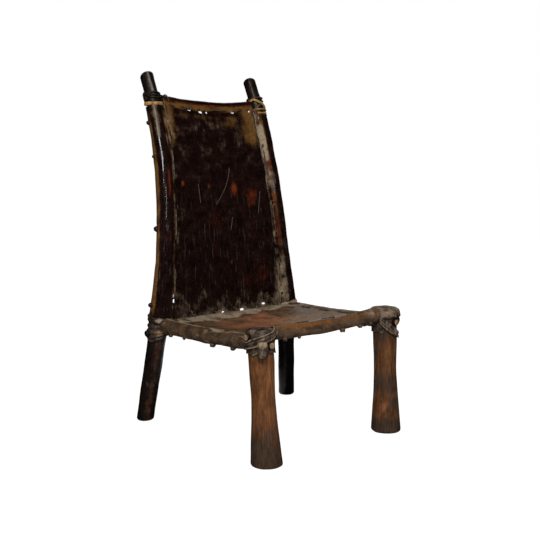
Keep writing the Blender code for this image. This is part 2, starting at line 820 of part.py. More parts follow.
def seat_side_seam(side):
    """The seam beside a side rail, on the strip of the panel that lies over the flap."""
    _, rows, grid = seat_grid()
    edge, inner = (grid[0], grid[1]) if side == LEFT else (grid[-1], grid[-2])
    inset = SEAT_SEAM_INSET / (edge[-1] - edge[0]).length
    return grid_seam(rows, edge, inner, rows[SLEEVE_FIRST] + inset, rows[-2])


def seat_front_seam():
    columns, _, grid = seat_grid()
    edge, inner = [column[0] for column in grid], [column[1] for column in grid]
    inset = SEAT_SEAM_INSET / (edge[-1] - edge[0]).length
    return grid_seam(columns, edge, inner, columns[SLEEVE_FIRST] + inset, columns[-1 - SLEEVE_FIRST] - inset)


def seam_point(edge, inner):
    """Between the seat's two layers, a stitch's inset from the edge, with the flap's side."""
    return edge + (inner - edge).normalized() * STITCH_INSET - UP * LAYER / 2, -UP


def lace_rear_edge():
    """One thong wound round the rear rail, through the back's lower edge and the seat's rear edge."""
    width = REAR_BEND_SPREAD - 2 * (POST_BEND_RADIUS + COVER_THICKNESS) - LACE_PITCH
    count = int(width / LACE_PITCH) + 1
    half_step = (LACE_WRAP_START - LACE_WRAP_END) / (LACE_WRAP_POINTS - 1) / 2
    reach = (RAIL_RADIUS + THONG_RADIUS + CLEARANCE) / math.cos(half_step)
    back_off = HIDE_THICKNESS / 2 + THONG_RADIUS + 2 * CLEARANCE
    bar = rear_rail()
    panel_width = back_panel(1, 0).x - back_panel(0, 0).x
    points = []
    for index in range(count):
        x = REAR_BEND_SHIFT + (index - (count - 1) / 2) * LACE_PITCH
        share = (x - back_panel(0, 0).x) / panel_width
        rise = LACE_EDGE / (BACK_SLEEVE_TOP - BACK_SLEEVE_BOTTOM)
        back_hole = back_panel(share, rise)
        seat_share = (x - seat_plan(0, 1).x) / (seat_plan(1, 1).x - seat_plan(0, 1).x)
        depth = (seat_plan(0.5, 1) - seat_plan(0.5, 0)).length
        seat_hole = seat_panel(seat_share, 1 - LACE_EDGE / depth)
        rail = rail_center(bar, (x - bar.start.x) / (bar.end.x - bar.start.x))
        forward = Vector((0, -1, 0))
        slit("back_hide", back_hole, Vector((1, 0, 0)), forward)
        slit("seat_hide", seat_hole, Vector((1, 0, 0)), UP)
        points.append(back_hole + forward * back_off)
        points.append(back_hole - forward * back_off)
        for angle in span(LACE_WRAP_START, LACE_WRAP_END, LACE_WRAP_POINTS):
            points.append(rail + (UP * math.sin(angle) - forward * math.cos(angle)) * reach)
        points.append(seat_hole - UP * back_off)
        points.append(seat_hole + UP * back_off)
    points.append(points[-1] + UP * 2 * THONG_RADIUS)
    tube_curve("rear_lacing", points, [THONG_RADIUS] * len(points), THONG_SIDES, THONG_RAWHIDE, CHAIR)


def least_gap(points, radius, apart):
    """Least distance between stretches of a tube that are further apart than this along it."""
    run = [0.0]
    for one, two in zip(points, points[1:]):
        run.append(run[-1] + (two - one).length)
    least = 1.0
    for i, one in enumerate(points):
        for j in range(i + 1, len(points)):
            if run[j] - run[i] > apart:
                least = min(least, (points[j] - one).length - 2 * radius)
    return least


def lash_top_joint(side):
    """The thong wound round the post: one turn under the rail, then up its outer side and above it."""
    turns = LASH_TURNS[side]
    clear = TOP_RAIL_RADIUS + LASH_THONG_RADIUS + 2 * CLEARANCE
    points = []
    for index in range(LASH_POINTS * turns + 1):
        turn = index / LASH_POINTS
        climb = min(1.0, max(0.0, (turn - LASH_CLIMB_START_SHARE) / (LASH_CLIMB_END_SHARE - LASH_CLIMB_START_SHARE)))
        lift = clear * (2 * climb - 1) + LASH_PITCH * max(0.0, turn - LASH_CLIMB_END_SHARE)
        center, inward, front = post_frame(side, TOP_RAIL_Z + lift)
        angle = 2 * math.pi * turn
        out = inward * math.cos(angle) + front * math.sin(angle)
        points.append(center + out * (post_radius(TOP_RAIL_Z) + 2 * CLEARANCE + LASH_THONG_RADIUS))
    end = (points[-1] - points[-2]).normalized()
    start = (points[0] - points[1]).normalized()
    points = [points[0] + start * 2 * LASH_THONG_RADIUS] + points + [points[-1] + end * 2 * LASH_THONG_RADIUS]
    name = "top_lashing_" + SIDE_NAMES[side]
    gap = least_gap(points, LASH_THONG_RADIUS, math.pi * post_radius(TOP_RAIL_Z))
    print(f"{name}: least gap to itself {gap * 1000:.2f} mm")
    tube_curve(name, points, [LASH_THONG_RADIUS] * len(points), THONG_SIDES, THONG_RAWHIDE, CHAIR)


# Corner coverings

def cap_radius(side, z):
    """Outer radius of the front corner cap, rounded in at its top edge."""
    top = FRONT_LEG_HEIGHT + CLEARANCE + COVER_THICKNESS
    full = head_radius(side) + CLEARANCE + COVER_THICKNESS
    over = min(1.0, max(0.0, (z - (top - CAP_EDGE)) / CAP_EDGE))
    return full - CAP_EDGE * (1 - math.sqrt(1 - over * over))


def cap_outline(side):
    inside = head_radius(side) + CLEARANCE
    under = FRONT_LEG_HEIGHT + CLEARANCE
    top = under + COVER_THICKNESS
    outline = [(0, top)]
    outline += [(cap_radius(side, z), z) for z in span(top, top - CAP_EDGE, 5)]
    outline += [(cap_radius(side, CAP_SKIRT_Z), CAP_SKIRT_Z), (inside, CAP_SKIRT_Z)]
    outline += [(inside, FRONT_LEG_HEIGHT - HEAD_EDGE), (inside - HEAD_EDGE * EDGE_ROUND, under - HEAD_EDGE * EDGE_ROUND)]
    return outline + [(inside - HEAD_EDGE, under), (0, under)]


def make_cap(side, cutters):
    name = "front_corner_cap_" + SIDE_NAMES[side]
    cap = turned(name, cap_outline(side), front_lean(side), front_foot(side), CORNER_RAWHIDE)
    for cutter in cutters:
        cut(cap, cutter)


def cap_room(side):
    """The room that a cap takes out of the seat hide."""
    top = FRONT_LEG_HEIGHT + 3 * COVER_THICKNESS + RAIL_RADIUS
    room = cap_radius(side, CAP_SKIRT_Z) + 2 * CLEARANCE
    outline = [(0, top), (room, top), (room, CAP_SKIRT_Z / 2), (0, CAP_SKIRT_Z / 2)]
    return turned("cap_room_" + SIDE_NAMES[side], outline, front_lean(side), front_foot(side), None)


CUFF_BOTTOM = REAR_RAIL_Z - RAIL_RADIUS - CUFF_MARGIN
CUFF_TOP = SIDE_RAIL_REAR_Z + RAIL_RADIUS + CUFF_MARGIN


def post_sleeve_tube(name, side, margin, reach, finish):
    """A tube along the post about its rail joints, standing this far off the wood."""
    heights = span(CUFF_BOTTOM - reach, CUFF_TOP + reach, CUFF_POINTS)
    points = [post_center(side, z) for z in heights]
    return tube(name, points, [post_radius(z) + margin for z in heights], POST_SIDES, finish)


def make_cuff(side, cutters):
    label = SIDE_NAMES[side]
    cuff = post_sleeve_tube("rear_corner_cuff_" + label, side, CLEARANCE + COVER_THICKNESS, 0.0, CORNER_RAWHIDE)
    cut(cuff, post_sleeve_tube("cuff_bore_" + label, side, CLEARANCE, COVER_THICKNESS, None))
    for cutter in cutters:
        cut(cuff, cutter)


def cuff_room(side):
    margin = CLEARANCE + COVER_THICKNESS + 2 * CLEARANCE
    return post_sleeve_tube("cuff_room_" + SIDE_NAMES[side], side, margin, RAIL_RADIUS, None)


def make_band(name, path, width, finish):
    """A flat strap along a path of (middle, way across)."""
    work = bmesh.new()
    rows = []
    for middle, across in path:
        rows.append([work.verts.new(middle + across * width * share) for share in (-0.5, 0.0, 0.5)])
    for one, two in zip(rows, rows[1:]):
        for a, b, c, d in zip(one, one[1:], two[1:], two):
            work.faces.new((a, b, c, d))
    bmesh.ops.recalc_face_normals(work, faces=work.faces)
    data = bpy.data.meshes.new(name)
    work.to_mesh(data)
    work.free()
    data.shade_smooth()
    band = add_object(name, data, finish, CHAIR)
    wall = band.modifiers.new("thickness", "SOLIDIFY")
    wall.thickness = COVER_THICKNESS
    wall.offset = 0.0
    return band


def make_front_strap(side):
    """A strap laid round the outer face of the cap, above the side rail's tenon."""
    top = FRONT_LEG_HEIGHT + COVER_THICKNESS - STRAP_WIDTH / 2
    low = SIDE_RAIL_FRONT_Z + STRAP_LIFT
    path = []
    for share in span(0.0, 1.0, STRAP_POINTS):
        angle = STRAP_START + (STRAP_END - STRAP_START) * share
        z = low + (top - low) * (1 - (1 - share) ** STRAP_RISE_POWER)
        out = Vector((side * math.cos(angle), -math.sin(angle), 0))
        off = cap_radius(side, CAP_SKIRT_Z) + 2 * CLEARANCE + COVER_THICKNESS / 2
        path.append((front_axis(side, z) + out * off, UP))
    make_band("front_corner_strap_" + SIDE_NAMES[side], path, STRAP_WIDTH, CORNER_RAWHIDE)


def make_roll(side):
    """The end of the hide rolled up and tucked against the leg below the tenons."""
    out = Vector((side * math.cos(ROLL_ANGLE), -math.sin(ROLL_ANGLE), 0))
    level = Vector((out.y, -out.x, 0))
    outer = ROLL_INNER_RADIUS + ROLL_TURNS * (COVER_THICKNESS + ROLL_GAP)
    z = SIDE_RAIL_FRONT_Z - TENON_RADIUS - outer
    off = cap_radius(side, CAP_SKIRT_Z) + 2 * CLEARANCE + ROLL_WIDTH / 2
    middle = front_axis(side, z) + out * off
    path = []
    for turn in span(0.0, ROLL_TURNS, ROLL_POINTS):
        radius = ROLL_INNER_RADIUS + (COVER_THICKNESS + ROLL_GAP) * turn
        swing = 2 * math.pi * turn
        path.append((middle + (level * math.cos(swing) + UP * math.sin(swing)) * radius, out))
    make_band("front_corner_roll_" + SIDE_NAMES[side], path, ROLL_WIDTH, CORNER_RAWHIDE)


def build_chair():
    mortises = make_rails()
    for side in SIDE_NAMES:
        rear = [mortises[side], mortises["rear"]]
        front = [mortises[side], mortises["front"]]
        make_post(side, rear + [mortises["top"]])
        make_front_leg(side, front)
        make_cap(side, front)
        make_cuff(side, rear)
        make_front_strap(side)
        lash_top_joint(side)
    make_roll(LEFT)
    for side, label in SIDE_NAMES.items():
        seam, length = back_seam(side)
        running_stitch("back_thong_" + label, seam, length, BACK_STITCH, "back_hide")
        seam, length = seat_side_seam(side)
        running_stitch("seat_thong_" + label, seam, length, SEAT_STITCH, "seat_hide")
    seam, length = top_seam()
    running_stitch("back_thong_top", seam, length, TOP_STITCH, "back_hide")
    seam, length = seat_front_seam()
    running_stitch("seat_thong_front", seam, length, SEAT_STITCH, "seat_hide")
    lace_rear_edge()
    make_back_hide()
    make_seat_hide([cap_room(side) for side in SIDE_NAMES] + [cuff_room(side) for side in SIDE_NAMES])


build_chair()
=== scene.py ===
"""Finished surfaces of an Ethiopian low chair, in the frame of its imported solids.

Crooked sticks carry a back and a seat of rawhide, sewn round them with thongs. Every piece is made
here again from the sizes of the solids, with the wear, folds and stitches that a camera sees.
"""

import collections
import math

import bmesh
import bpy
from bpy.props import FloatProperty, FloatVectorProperty, PointerProperty
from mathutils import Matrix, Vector, noise


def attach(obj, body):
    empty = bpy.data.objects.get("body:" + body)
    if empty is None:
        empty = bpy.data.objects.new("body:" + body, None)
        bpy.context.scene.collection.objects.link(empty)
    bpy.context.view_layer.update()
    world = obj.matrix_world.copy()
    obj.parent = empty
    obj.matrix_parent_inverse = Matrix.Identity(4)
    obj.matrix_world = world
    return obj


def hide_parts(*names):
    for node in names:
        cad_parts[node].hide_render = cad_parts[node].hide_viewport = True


bl_info = {
    "name": "Ethiopian Low Chair",
    "version": (1, 0, 0),
    "blender": (4, 5, 0),
    "location": "View3D > Sidebar > Low Chair",
    "description": "Builds the finished surfaces of a low chair of sticks and sewn rawhide",
    "category": "Add Mesh",
}

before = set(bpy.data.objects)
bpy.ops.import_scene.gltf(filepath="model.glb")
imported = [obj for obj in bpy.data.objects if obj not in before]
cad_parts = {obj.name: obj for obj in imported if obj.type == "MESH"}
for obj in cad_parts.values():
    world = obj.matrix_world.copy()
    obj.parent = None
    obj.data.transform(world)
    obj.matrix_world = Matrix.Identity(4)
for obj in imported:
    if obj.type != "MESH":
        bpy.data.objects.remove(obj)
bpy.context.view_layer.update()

LEFT = -1
RIGHT = 1
SIDE_NAMES = {LEFT: "left", RIGHT: "right"}
UP = Vector((0, 0, 1))
TINY = 1e-6

# Front legs
FRONT_FLOOR_SPREAD = 0.381
FRONT_FLOOR_Y = -0.2414
FRONT_FLOOR_SKEW = -0.0035
FRONT_SEAT_SPREAD = 0.399
FRONT_SEAT_SHIFT = -0.003
FRONT_SEAT_Y = -0.2289
FRONT_SEAT_SKEW = -0.008
FRONT_LEG_HEIGHT = 0.2960
FRONT_FOOT_RADIUS = 0.0360
FRONT_WAIST_RADIUS = 0.0268
FRONT_WAIST_Z = 0.1535
FRONT_HEAD_RADIUS = 0.0285
FRONT_GIRTH_DIFFERENCE = 0.0012
FOOT_FLARE_POWER = 1.6
CAP_SKIRT_Z = 0.2435
HEAD_EDGE = 0.007
COVER = 0.0026

# Rear posts
REAR_FLOOR_SPREAD = 0.4366
REAR_FLOOR_Y = 0.1906
REAR_FLOOR_SKEW = 0.020
REAR_BEND_SPREAD = 0.406
REAR_BEND_SHIFT = 0.0025
REAR_BEND_Y = 0.1581
REAR_BEND_Z = 0.2735
REAR_TOP_SPREAD = 0.325
REAR_TOP_Y = 0.2685
REAR_TOP_Z = 0.8695
RAKE_POWER = 2.7
POST_FOOT_RADIUS = 0.0216
POST_BEND_RADIUS = 0.0232
POST_UPPER_RADIUS = 0.0175
POST_TOP_RADIUS = 0.0170
POST_SLIM_SHARE = 0.22
POST_TOP_EDGE = 0.010

# Rails
RAIL_RADIUS = 0.0130
FRONT_RAIL_RADIUS = 0.0105
TENON_RADIUS = 0.0080
TENON_PROUD = 0.012
FRONT_RAIL_Z = 0.2865
FRONT_RAIL_SAG = 0.006
SIDE_RAIL_FRONT_Z = 0.2675
SIDE_RAIL_REAR_Z = 0.2490
SIDE_RAIL_SAG = 0.004
REAR_RAIL_Z = 0.2300
TOP_RAIL_Z = 0.8035
TOP_RAIL_RADIUS = 0.0088
TOP_TENON_RADIUS = 0.0065
TOP_TENON_PROUD = 0.007
TOP_RAIL_SAG = 0.010
TOP_RAIL_DROP = 0.008

# Hides
LAYER = 0.003
NECK = 0.0015
SLEEVE_OPENING = math.radians(30)
BACK_NECK_ANGLE = math.radians(30)
TOP_NECK_ANGLE = math.radians(35)
SEAT_NECK_ANGLE = math.radians(35)
BACK_BOTTOM = 0.2715
BACK_TOP = 0.7835
BACK_HOLLOW = 0.010
BACK_DIP = 0.011
SEAT_DISH = 0.020
SEAT_CORNER = 0.0190
STITCH_INSET = 0.0045
SIDE_STITCH = {LEFT: 0.0015, RIGHT: STITCH_INSET}
BACK_STITCH = 0.080
TOP_STITCH = 0.036
SEAT_STITCH = 0.042
LACE_PITCH = 0.066
LACE_SHIFT = -0.018
LACE_EDGE = 0.009
CUFF_LOW = 0.2115
CUFF_HIGH = 0.2675

# Daylight through the seams: share across the top and length there, and place across the bottom
TOP_GAPS = {0.266: 0.021, 0.392: 0.015, 0.458: 0.006, 0.742: 0.018, 0.936: 0.006}
LOW_GAPS = (-0.021, 0.043, 0.114)

# Long scratches of the back: lowest and highest place, then start, slope and bend of the line across
SCRATCHES = (
    (0.271, 0.364, -0.022, 0.99, -4.6),
    (0.276, 0.323, -0.071, -0.04, 0.0),
    (0.246, 0.302, 0.110, 0.18, 0.0),
    (0.205, 0.238, 0.020, 0.25, 0.0),
)


def linear(code):
    """A colour code such as #5a4632 as linear red, green and blue."""
    parts = [int(code[i:i + 2], 16) / 255 for i in (1, 3, 5)]
    return tuple(c / 12.92 if c <= 0.04045 else ((c + 0.055) / 1.055) ** 2.4 for c in parts)


def colour(name, code, description):
    return FloatVectorProperty(name=name, description=description, default=linear(code), subtype="COLOR", size=3, min=0, max=1)


class LowChairSizes(bpy.types.PropertyGroup):
    """Sizes of the soft work that can change without moving the frame."""

    hide: FloatProperty(name="Hide thickness", description="Thickness of the back and seat hides", default=0.0024, min=0.001, max=0.004, unit="LENGTH")
    flap: FloatProperty(name="Flap width", description="How far a sleeve's flap reaches past its seam", default=0.012, min=0.006, max=0.03, unit="LENGTH")
    slack: FloatProperty(name="Slack", description="Height of the waves in the hides", default=0.0016, min=0, max=0.006, unit="LENGTH")
    thong: FloatProperty(name="Thong width", description="Width of the sewing thongs", default=0.0046, min=0.002, max=0.008, unit="LENGTH")
    knot: FloatProperty(name="Knot size", description="Outer radius of a stitch's knot", default=0.0042, min=0.001, max=0.008, unit="LENGTH")
    slit: FloatProperty(name="Slit length", description="Length of an eyelet that the thong has pulled open", default=0.0095, min=0.004, max=0.02, unit="LENGTH")


class LowChairColours(bpy.types.PropertyGroup):
    """Colours of the materials."""

    dark_wood: colour("Dark wood", "#19110c", "Smoked and handled wood of the posts")
    brown_wood: colour("Brown wood", "#6a4122", "Oiled wood of the front legs")
    back_hide: colour("Back hide", "#160a08", "Blackened rawhide of the back")
    seat_hide: colour("Seat hide", "#493829", "Rubbed rawhide of the seat")
    corner_hide: colour("Corner hide", "#32271f", "Creased rawhide of the corners")
    ochre: colour("Ochre", "#5a3e1e", "Thin rawhide where light comes through")
    amber: colour("Amber", "#6c421d", "Oiled amber of the front sleeve")
    rust: colour("Rust", "#5a2410", "Red rubbed places of the back")
    red: colour("Red", "#88573b", "Red rubbed places of the seat")
    soot_dust: colour("Soot dust", "#87765f", "Dust along the seams of the back")
    dust: colour("Dust", "#85745f", "Dust and dried scurf on the seat and corners")
    thong: colour("Thong", "#54412c", "Sewing thongs and lacing")
    lashing: colour("Lashing", "#a47a42", "Pale band of the top joint")
    # Grime of the legs, also used as painted shade on their shaded flanks and under the caps
    grime_and_shade: colour("Grime", "#33281f", "Grime on the wood of the legs")
    end_grain: colour("End grain", "#8a684e", "Cut ends of the tenons")


def add_node(tree, kind, values=None, **settings):
    """Adds a node with its settings, and sets or links its inputs by name or number."""
    made = tree.nodes.new(kind)
    for key, value in settings.items():
        setattr(made, key, value)
    for key, value in (values or {}).items():
        if isinstance(value, bpy.types.NodeSocket):
            tree.links.new(value, made.inputs[key])
        else:
            made.inputs[key].default_value = value
    return made


def new_material(name):
    made = bpy.data.materials.new(name)
    made.use_nodes = True
    made.node_tree.nodes.clear()
    return made, made.node_tree


def shade(shade_of, share):
    """A colour made darker or lighter by a share, with full alpha."""
    return tuple(min(1.0, c * share) for c in shade_of[:3]) + (1.0,)


def wood_material(name, tint, grime_and_shade, gloss):
    """Hand-cut hardwood: long dark pores and streaks, grimed and worn places, under a dull polish, with painted shade
    and painted highlights among them.

    The piece's own attribute stain says where it is grimed, worn or dusty; the grime also holds painted shade and the
    wear painted highlights.
    """
    made, tree = new_material(name)
    place = add_node(tree, "ShaderNodeTexCoord").outputs["Object"]
    stain = add_node(tree, "ShaderNodeAttribute", attribute_name="stain").outputs["Vector"]
    # Pores are about 3 mm wide here, coarser than in real wood, so that they show
    drawn = add_node(tree, "ShaderNodeVectorMath", {0: place, 1: (1 / 0.0032, 1 / 0.0032, 1 / 0.028)}, operation="MULTIPLY")
    pores = add_node(tree, "ShaderNodeTexNoise", {"Vector": drawn.outputs[0], "Scale": 1.0, "Detail": 4.0, "Roughness": 0.6})
    long = add_node(tree, "ShaderNodeVectorMath", {0: place, 1: (1 / 0.011, 1 / 0.011, 1 / 0.09)}, operation="MULTIPLY")
    streaks = add_node(tree, "ShaderNodeTexNoise", {"Vector": long.outputs[0], "Scale": 1.0, "Detail": 5.0, "Roughness": 0.65, "Distortion": 0.3})
    blots = add_node(tree, "ShaderNodeTexNoise", {"Vector": place, "Scale": 1 / 0.022, "Detail": 6.0, "Roughness": 0.7})
    broken = add_node(tree, "ShaderNodeVectorMath", {0: blots.outputs["Color"], 1: (2.4, 2.0, 2.2), 2: stain}, operation="MULTIPLY_ADD")
    masks = add_node(tree, "ShaderNodeMapRange", {6: broken.outputs[0], 7: (1.35, 1.4, 1.5), 8: (2.1, 2.1, 2.3), 10: (0.85, 1.0, 1.0)}, data_type="FLOAT_VECTOR", interpolation_type="SMOOTHSTEP")
    parts = add_node(tree, "ShaderNodeSeparateXYZ", {0: masks.outputs[1]})
    lines = add_node(tree, "ShaderNodeMapRange", {"Value": streaks.outputs[0], "From Min": 0.3, "From Max": 0.68}, interpolation_type="SMOOTHSTEP")
    body = add_node(tree, "ShaderNodeMix", {0: lines.outputs[0], 6: shade(tint, 0.62), 7: shade(tint, 1.2)}, data_type="RGBA")
    wear_and_highlight = add_node(tree, "ShaderNodeMix", {0: parts.outputs[1], 6: body.outputs[2], 7: (tint[0] * 1.6 + 0.045, tint[1] * 1.6 + 0.016, tint[2] * 1.6 + 0.008, 1)}, data_type="RGBA")
    grimed_and_shaded = add_node(tree, "ShaderNodeMix", {0: parts.outputs[0], 6: wear_and_highlight.outputs[2], 7: shade(grime_and_shade, 1.0)}, data_type="RGBA")
    dusty = add_node(tree, "ShaderNodeMix", {0: parts.outputs[2], 6: grimed_and_shaded.outputs[2], 7: shade(linear("#6b6158"), 1.0)}, data_type="RGBA")
    fine = add_node(tree, "ShaderNodeMapRange", {"Value": pores.outputs[0], "From Min": 0.30, "From Max": 0.62, "To Min": 0.55, "To Max": 1.15}, interpolation_type="SMOOTHSTEP")
    patchy = add_node(tree, "ShaderNodeMapRange", {"Value": blots.outputs[0], "From Min": 0.3, "From Max": 0.7, "To Min": 0.7, "To Max": 1.25})
    both = add_node(tree, "ShaderNodeMath", {0: fine.outputs[0], 1: patchy.outputs[0]}, operation="MULTIPLY")
    toned = add_node(tree, "ShaderNodeVectorMath", {0: dusty.outputs[2], "Scale": both.outputs[0]}, operation="SCALE")
    rough = add_node(tree, "ShaderNodeMapRange", {"Value": blots.outputs[0], "From Min": 0.3, "From Max": 0.7, "To Min": gloss, "To Max": gloss + 0.25})
    cuts = add_node(tree, "ShaderNodeMath", {0: streaks.outputs[0], 1: 1.2, 2: pores.outputs[0]}, operation="MULTIPLY_ADD")
    relief = add_node(tree, "ShaderNodeBump", {"Strength": 0.55, "Distance": 0.001, "Height": cuts.outputs[0]})
    shader = add_node(tree, "ShaderNodeBsdfPrincipled", {"Base Color": toned.outputs[0], "Roughness": rough.outputs[0], "Specular IOR Level": 0.2, "Normal": relief.outputs[0]})
    add_node(tree, "ShaderNodeOutputMaterial", {"Surface": shader.outputs[0]})
    return made


def rawhide_material(name, tint, stains, gloss, marks, relief, spread, scratches=()):
    """Scraped rawhide: mottled, dusty at its seams, amber where thin, red where rubbed, with fine scratches and pale
    fibre streaks that are scrape marks and a painted streaky sheen.

    The sheet's own attributes say where: cut is its flat place in metres, stain its dust, amber and rust.
    """
    made, tree = new_material(name)
    cut = add_node(tree, "ShaderNodeAttribute", attribute_name="cut").outputs["Vector"]
    stain = add_node(tree, "ShaderNodeAttribute", attribute_name="stain").outputs["Vector"]
    mottle = add_node(tree, "ShaderNodeTexNoise", {"Vector": cut, "Scale": 1 / spread, "Detail": 7.0, "Roughness": 0.68})
    pores = add_node(tree, "ShaderNodeTexNoise", {"Vector": cut, "Scale": 1 / 0.008, "Detail": 3.0, "Roughness": 0.6})
    # Scrape marks are 4 mm wide here, coarser than the real ones, so that they show
    drawn = add_node(tree, "ShaderNodeVectorMath", {0: cut, 1: (1 / 0.004, 1 / 0.045, 1 / 0.01)}, operation="MULTIPLY")
    fibres = add_node(tree, "ShaderNodeTexNoise", {"Vector": drawn.outputs[0], "Scale": 1.0, "Detail": 3.0, "Distortion": 0.6})
    shifted = add_node(tree, "ShaderNodeVectorMath", {0: mottle.outputs["Color"], 1: (1.4, 1.4, 1.2), 2: stain}, operation="MULTIPLY_ADD")
    wisps = add_node(tree, "ShaderNodeVectorMath", {0: fibres.outputs["Color"], 1: (0.45, 0.4, 0.8), 2: shifted.outputs[0]}, operation="MULTIPLY_ADD")
    masks = add_node(tree, "ShaderNodeMapRange", {6: wisps.outputs[0], 7: (1.05, 1.05, 1.2), 8: (1.95, 1.9, 1.9)}, data_type="FLOAT_VECTOR", interpolation_type="SMOOTHSTEP")
    parts = add_node(tree, "ShaderNodeSeparateXYZ", {0: masks.outputs[1]})
    blotch = add_node(tree, "ShaderNodeMapRange", {"Value": mottle.outputs[0], "From Min": 0.34, "From Max": 0.66}, interpolation_type="SMOOTHSTEP")
    body = add_node(tree, "ShaderNodeMix", {0: blotch.outputs[0], 6: shade(tint, 0.45), 7: shade(tint, 1.5)}, data_type="RGBA")
    # Pale fibre streaks, strongest low on the back, are scrape marks and a painted streaky sheen
    line = add_node(tree, "ShaderNodeMapRange", {"Value": fibres.outputs[0], "From Min": 0.60, "From Max": 0.76, "To Max": marks}, interpolation_type="SMOOTHSTEP")
    flat = add_node(tree, "ShaderNodeSeparateXYZ", {0: cut})
    lower = add_node(tree, "ShaderNodeMapRange", {"Value": flat.outputs[1], "From Min": 0.36, "From Max": 0.20}, interpolation_type="SMOOTHSTEP")
    scored_and_sheen = add_node(tree, "ShaderNodeMath", {0: line.outputs[0], 1: lower.outputs[0]}, operation="MULTIPLY").outputs[0]
    for low, high, start, slope, bend in scratches:
        rise = add_node(tree, "ShaderNodeMath", {0: flat.outputs[1], 1: low}, operation="SUBTRACT")
        lean = add_node(tree, "ShaderNodeMath", {0: rise.outputs[0], 1: bend, 2: slope}, operation="MULTIPLY_ADD")
        track = add_node(tree, "ShaderNodeMath", {0: rise.outputs[0], 1: lean.outputs[0], 2: start}, operation="MULTIPLY_ADD")
        gap = add_node(tree, "ShaderNodeMath", {0: flat.outputs[0], 1: track.outputs[0]}, operation="SUBTRACT")
        wide = add_node(tree, "ShaderNodeMath", {0: gap.outputs[0]}, operation="ABSOLUTE")
        near = add_node(tree, "ShaderNodeMapRange", {"Value": wide.outputs[0], "From Min": 0.0003, "From Max": 0.0010, "To Min": 0.85, "To Max": 0.0})
        ends = add_node(tree, "ShaderNodeMath", {0: rise.outputs[0], 1: (high - low) / 2, 2: (high - low) / 2}, operation="COMPARE")
        mark = add_node(tree, "ShaderNodeMath", {0: near.outputs[0], 1: ends.outputs[0]}, operation="MULTIPLY")
        scored_and_sheen = add_node(tree, "ShaderNodeMath", {0: scored_and_sheen, 1: mark.outputs[0]}, operation="MAXIMUM").outputs[0]
    rusty = add_node(tree, "ShaderNodeMix", {0: parts.outputs[2], 6: body.outputs[2], 7: shade(stains[2], 1.0)}, data_type="RGBA")
    thin = add_node(tree, "ShaderNodeMix", {0: parts.outputs[1], 6: rusty.outputs[2], 7: shade(stains[1], 1.0)}, data_type="RGBA")
    dusty = add_node(tree, "ShaderNodeMix", {0: parts.outputs[0], 6: thin.outputs[2], 7: shade(stains[0], 1.0)}, data_type="RGBA")
    streaked = add_node(tree, "ShaderNodeMix", {0: scored_and_sheen, 6: dusty.outputs[2], 7: shade(linear("#5f5654"), 1.0)}, data_type="RGBA")
    speck = add_node(tree, "ShaderNodeMapRange", {"Value": pores.outputs[0], "From Min": 0.3, "From Max": 0.7, "To Min": 0.72, "To Max": 1.25})
    toned = add_node(tree, "ShaderNodeVectorMath", {0: streaked.outputs[2], "Scale": speck.outputs[0]}, operation="SCALE")
    polish = add_node(tree, "ShaderNodeMapRange", {"Value": pores.outputs[0], "From Min": 0.3, "From Max": 0.7, "To Min": gloss, "To Max": gloss + 0.1})
    rough = add_node(tree, "ShaderNodeMath", {0: parts.outputs[0], 1: 0.6, 2: polish.outputs[0]}, operation="MULTIPLY_ADD")
    wrinkles = add_node(tree, "ShaderNodeMath", {0: fibres.outputs[0], 1: 0.7, 2: pores.outputs[0]}, operation="MULTIPLY_ADD")
    folds = add_node(tree, "ShaderNodeMath", {0: mottle.outputs[0], 1: 1.5, 2: wrinkles.outputs[0]}, operation="MULTIPLY_ADD")
    bumps = add_node(tree, "ShaderNodeBump", {"Strength": relief, "Distance": 0.001, "Height": folds.outputs[0]})
    shader = add_node(tree, "ShaderNodeBsdfPrincipled", {"Base Color": toned.outputs[0], "Roughness": rough.outputs[0], "Specular IOR Level": 0.22, "Normal": bumps.outputs[0]})
    add_node(tree, "ShaderNodeOutputMaterial", {"Surface": shader.outputs[0]})
    return made


def thong_material(name, tint):
    """Twisted rawhide thong: ochre, with dark grease in its creases."""
    made, tree = new_material(name)
    place = add_node(tree, "ShaderNodeTexCoord").outputs["Object"]
    grease = add_node(tree, "ShaderNodeTexNoise", {"Vector": place, "Scale": 1 / 0.012, "Detail": 4.0, "Roughness": 0.7})
    creases = add_node(tree, "ShaderNodeMapRange", {"Value": grease.outputs[0], "From Min": 0.35, "From Max": 0.65}, interpolation_type="SMOOTHSTEP")
    body = add_node(tree, "ShaderNodeMix", {0: creases.outputs[0], 6: shade(tint, 0.25), 7: shade(tint, 1.1)}, data_type="RGBA")
    relief = add_node(tree, "ShaderNodeBump", {"Strength": 0.5, "Distance": 0.0006, "Height": grease.outputs[0]})
    shader = add_node(tree, "ShaderNodeBsdfPrincipled", {"Base Color": body.outputs[2], "Roughness": 0.55, "Specular IOR Level": 0.3, "Normal": relief.outputs[0]})
    add_node(tree, "ShaderNodeOutputMaterial", {"Surface": shader.outputs[0]})
    return made


# Numbers, lines and places


def span(start, end, count):
    return [start + (end - start) * i / (count - 1) for i in range(count)]


def ease(value, low=0.0, high=1.0):
    """Rises smoothly from 0 at low to 1 at high."""
    share = min(1.0, max(0.0, (value - low) / (high - low)))
    return share * share * (3 - 2 * share)


def bell(value, middle, width):
    return math.exp(-((value - middle) / width) ** 2)


def wobble(point, size, seed):
    """Smooth noise between about -1 and 1 with bumps of this size."""
    return noise.noise(Vector(point) / size + Vector((17.3, 5.1, 9.7)) * seed)


def seen_turn(point, center):
    """Degrees round a stick from the side that faces the camera's corner of the room, growing to the right."""
    turn = math.degrees(math.atan2(point.y - center.y, point.x - center.x)) - 231
    return (turn + 180) % 360 - 180


def eased_line(points, rounds):
    """Takes the corners off a line and leaves its ends where they are."""
    for _ in range(rounds):
        middle = [(a + b * 2 + c) / 4 for a, b, c in zip(points, points[1:], points[2:])]
        points = [points[0]] + middle + [points[-1]]
    return points


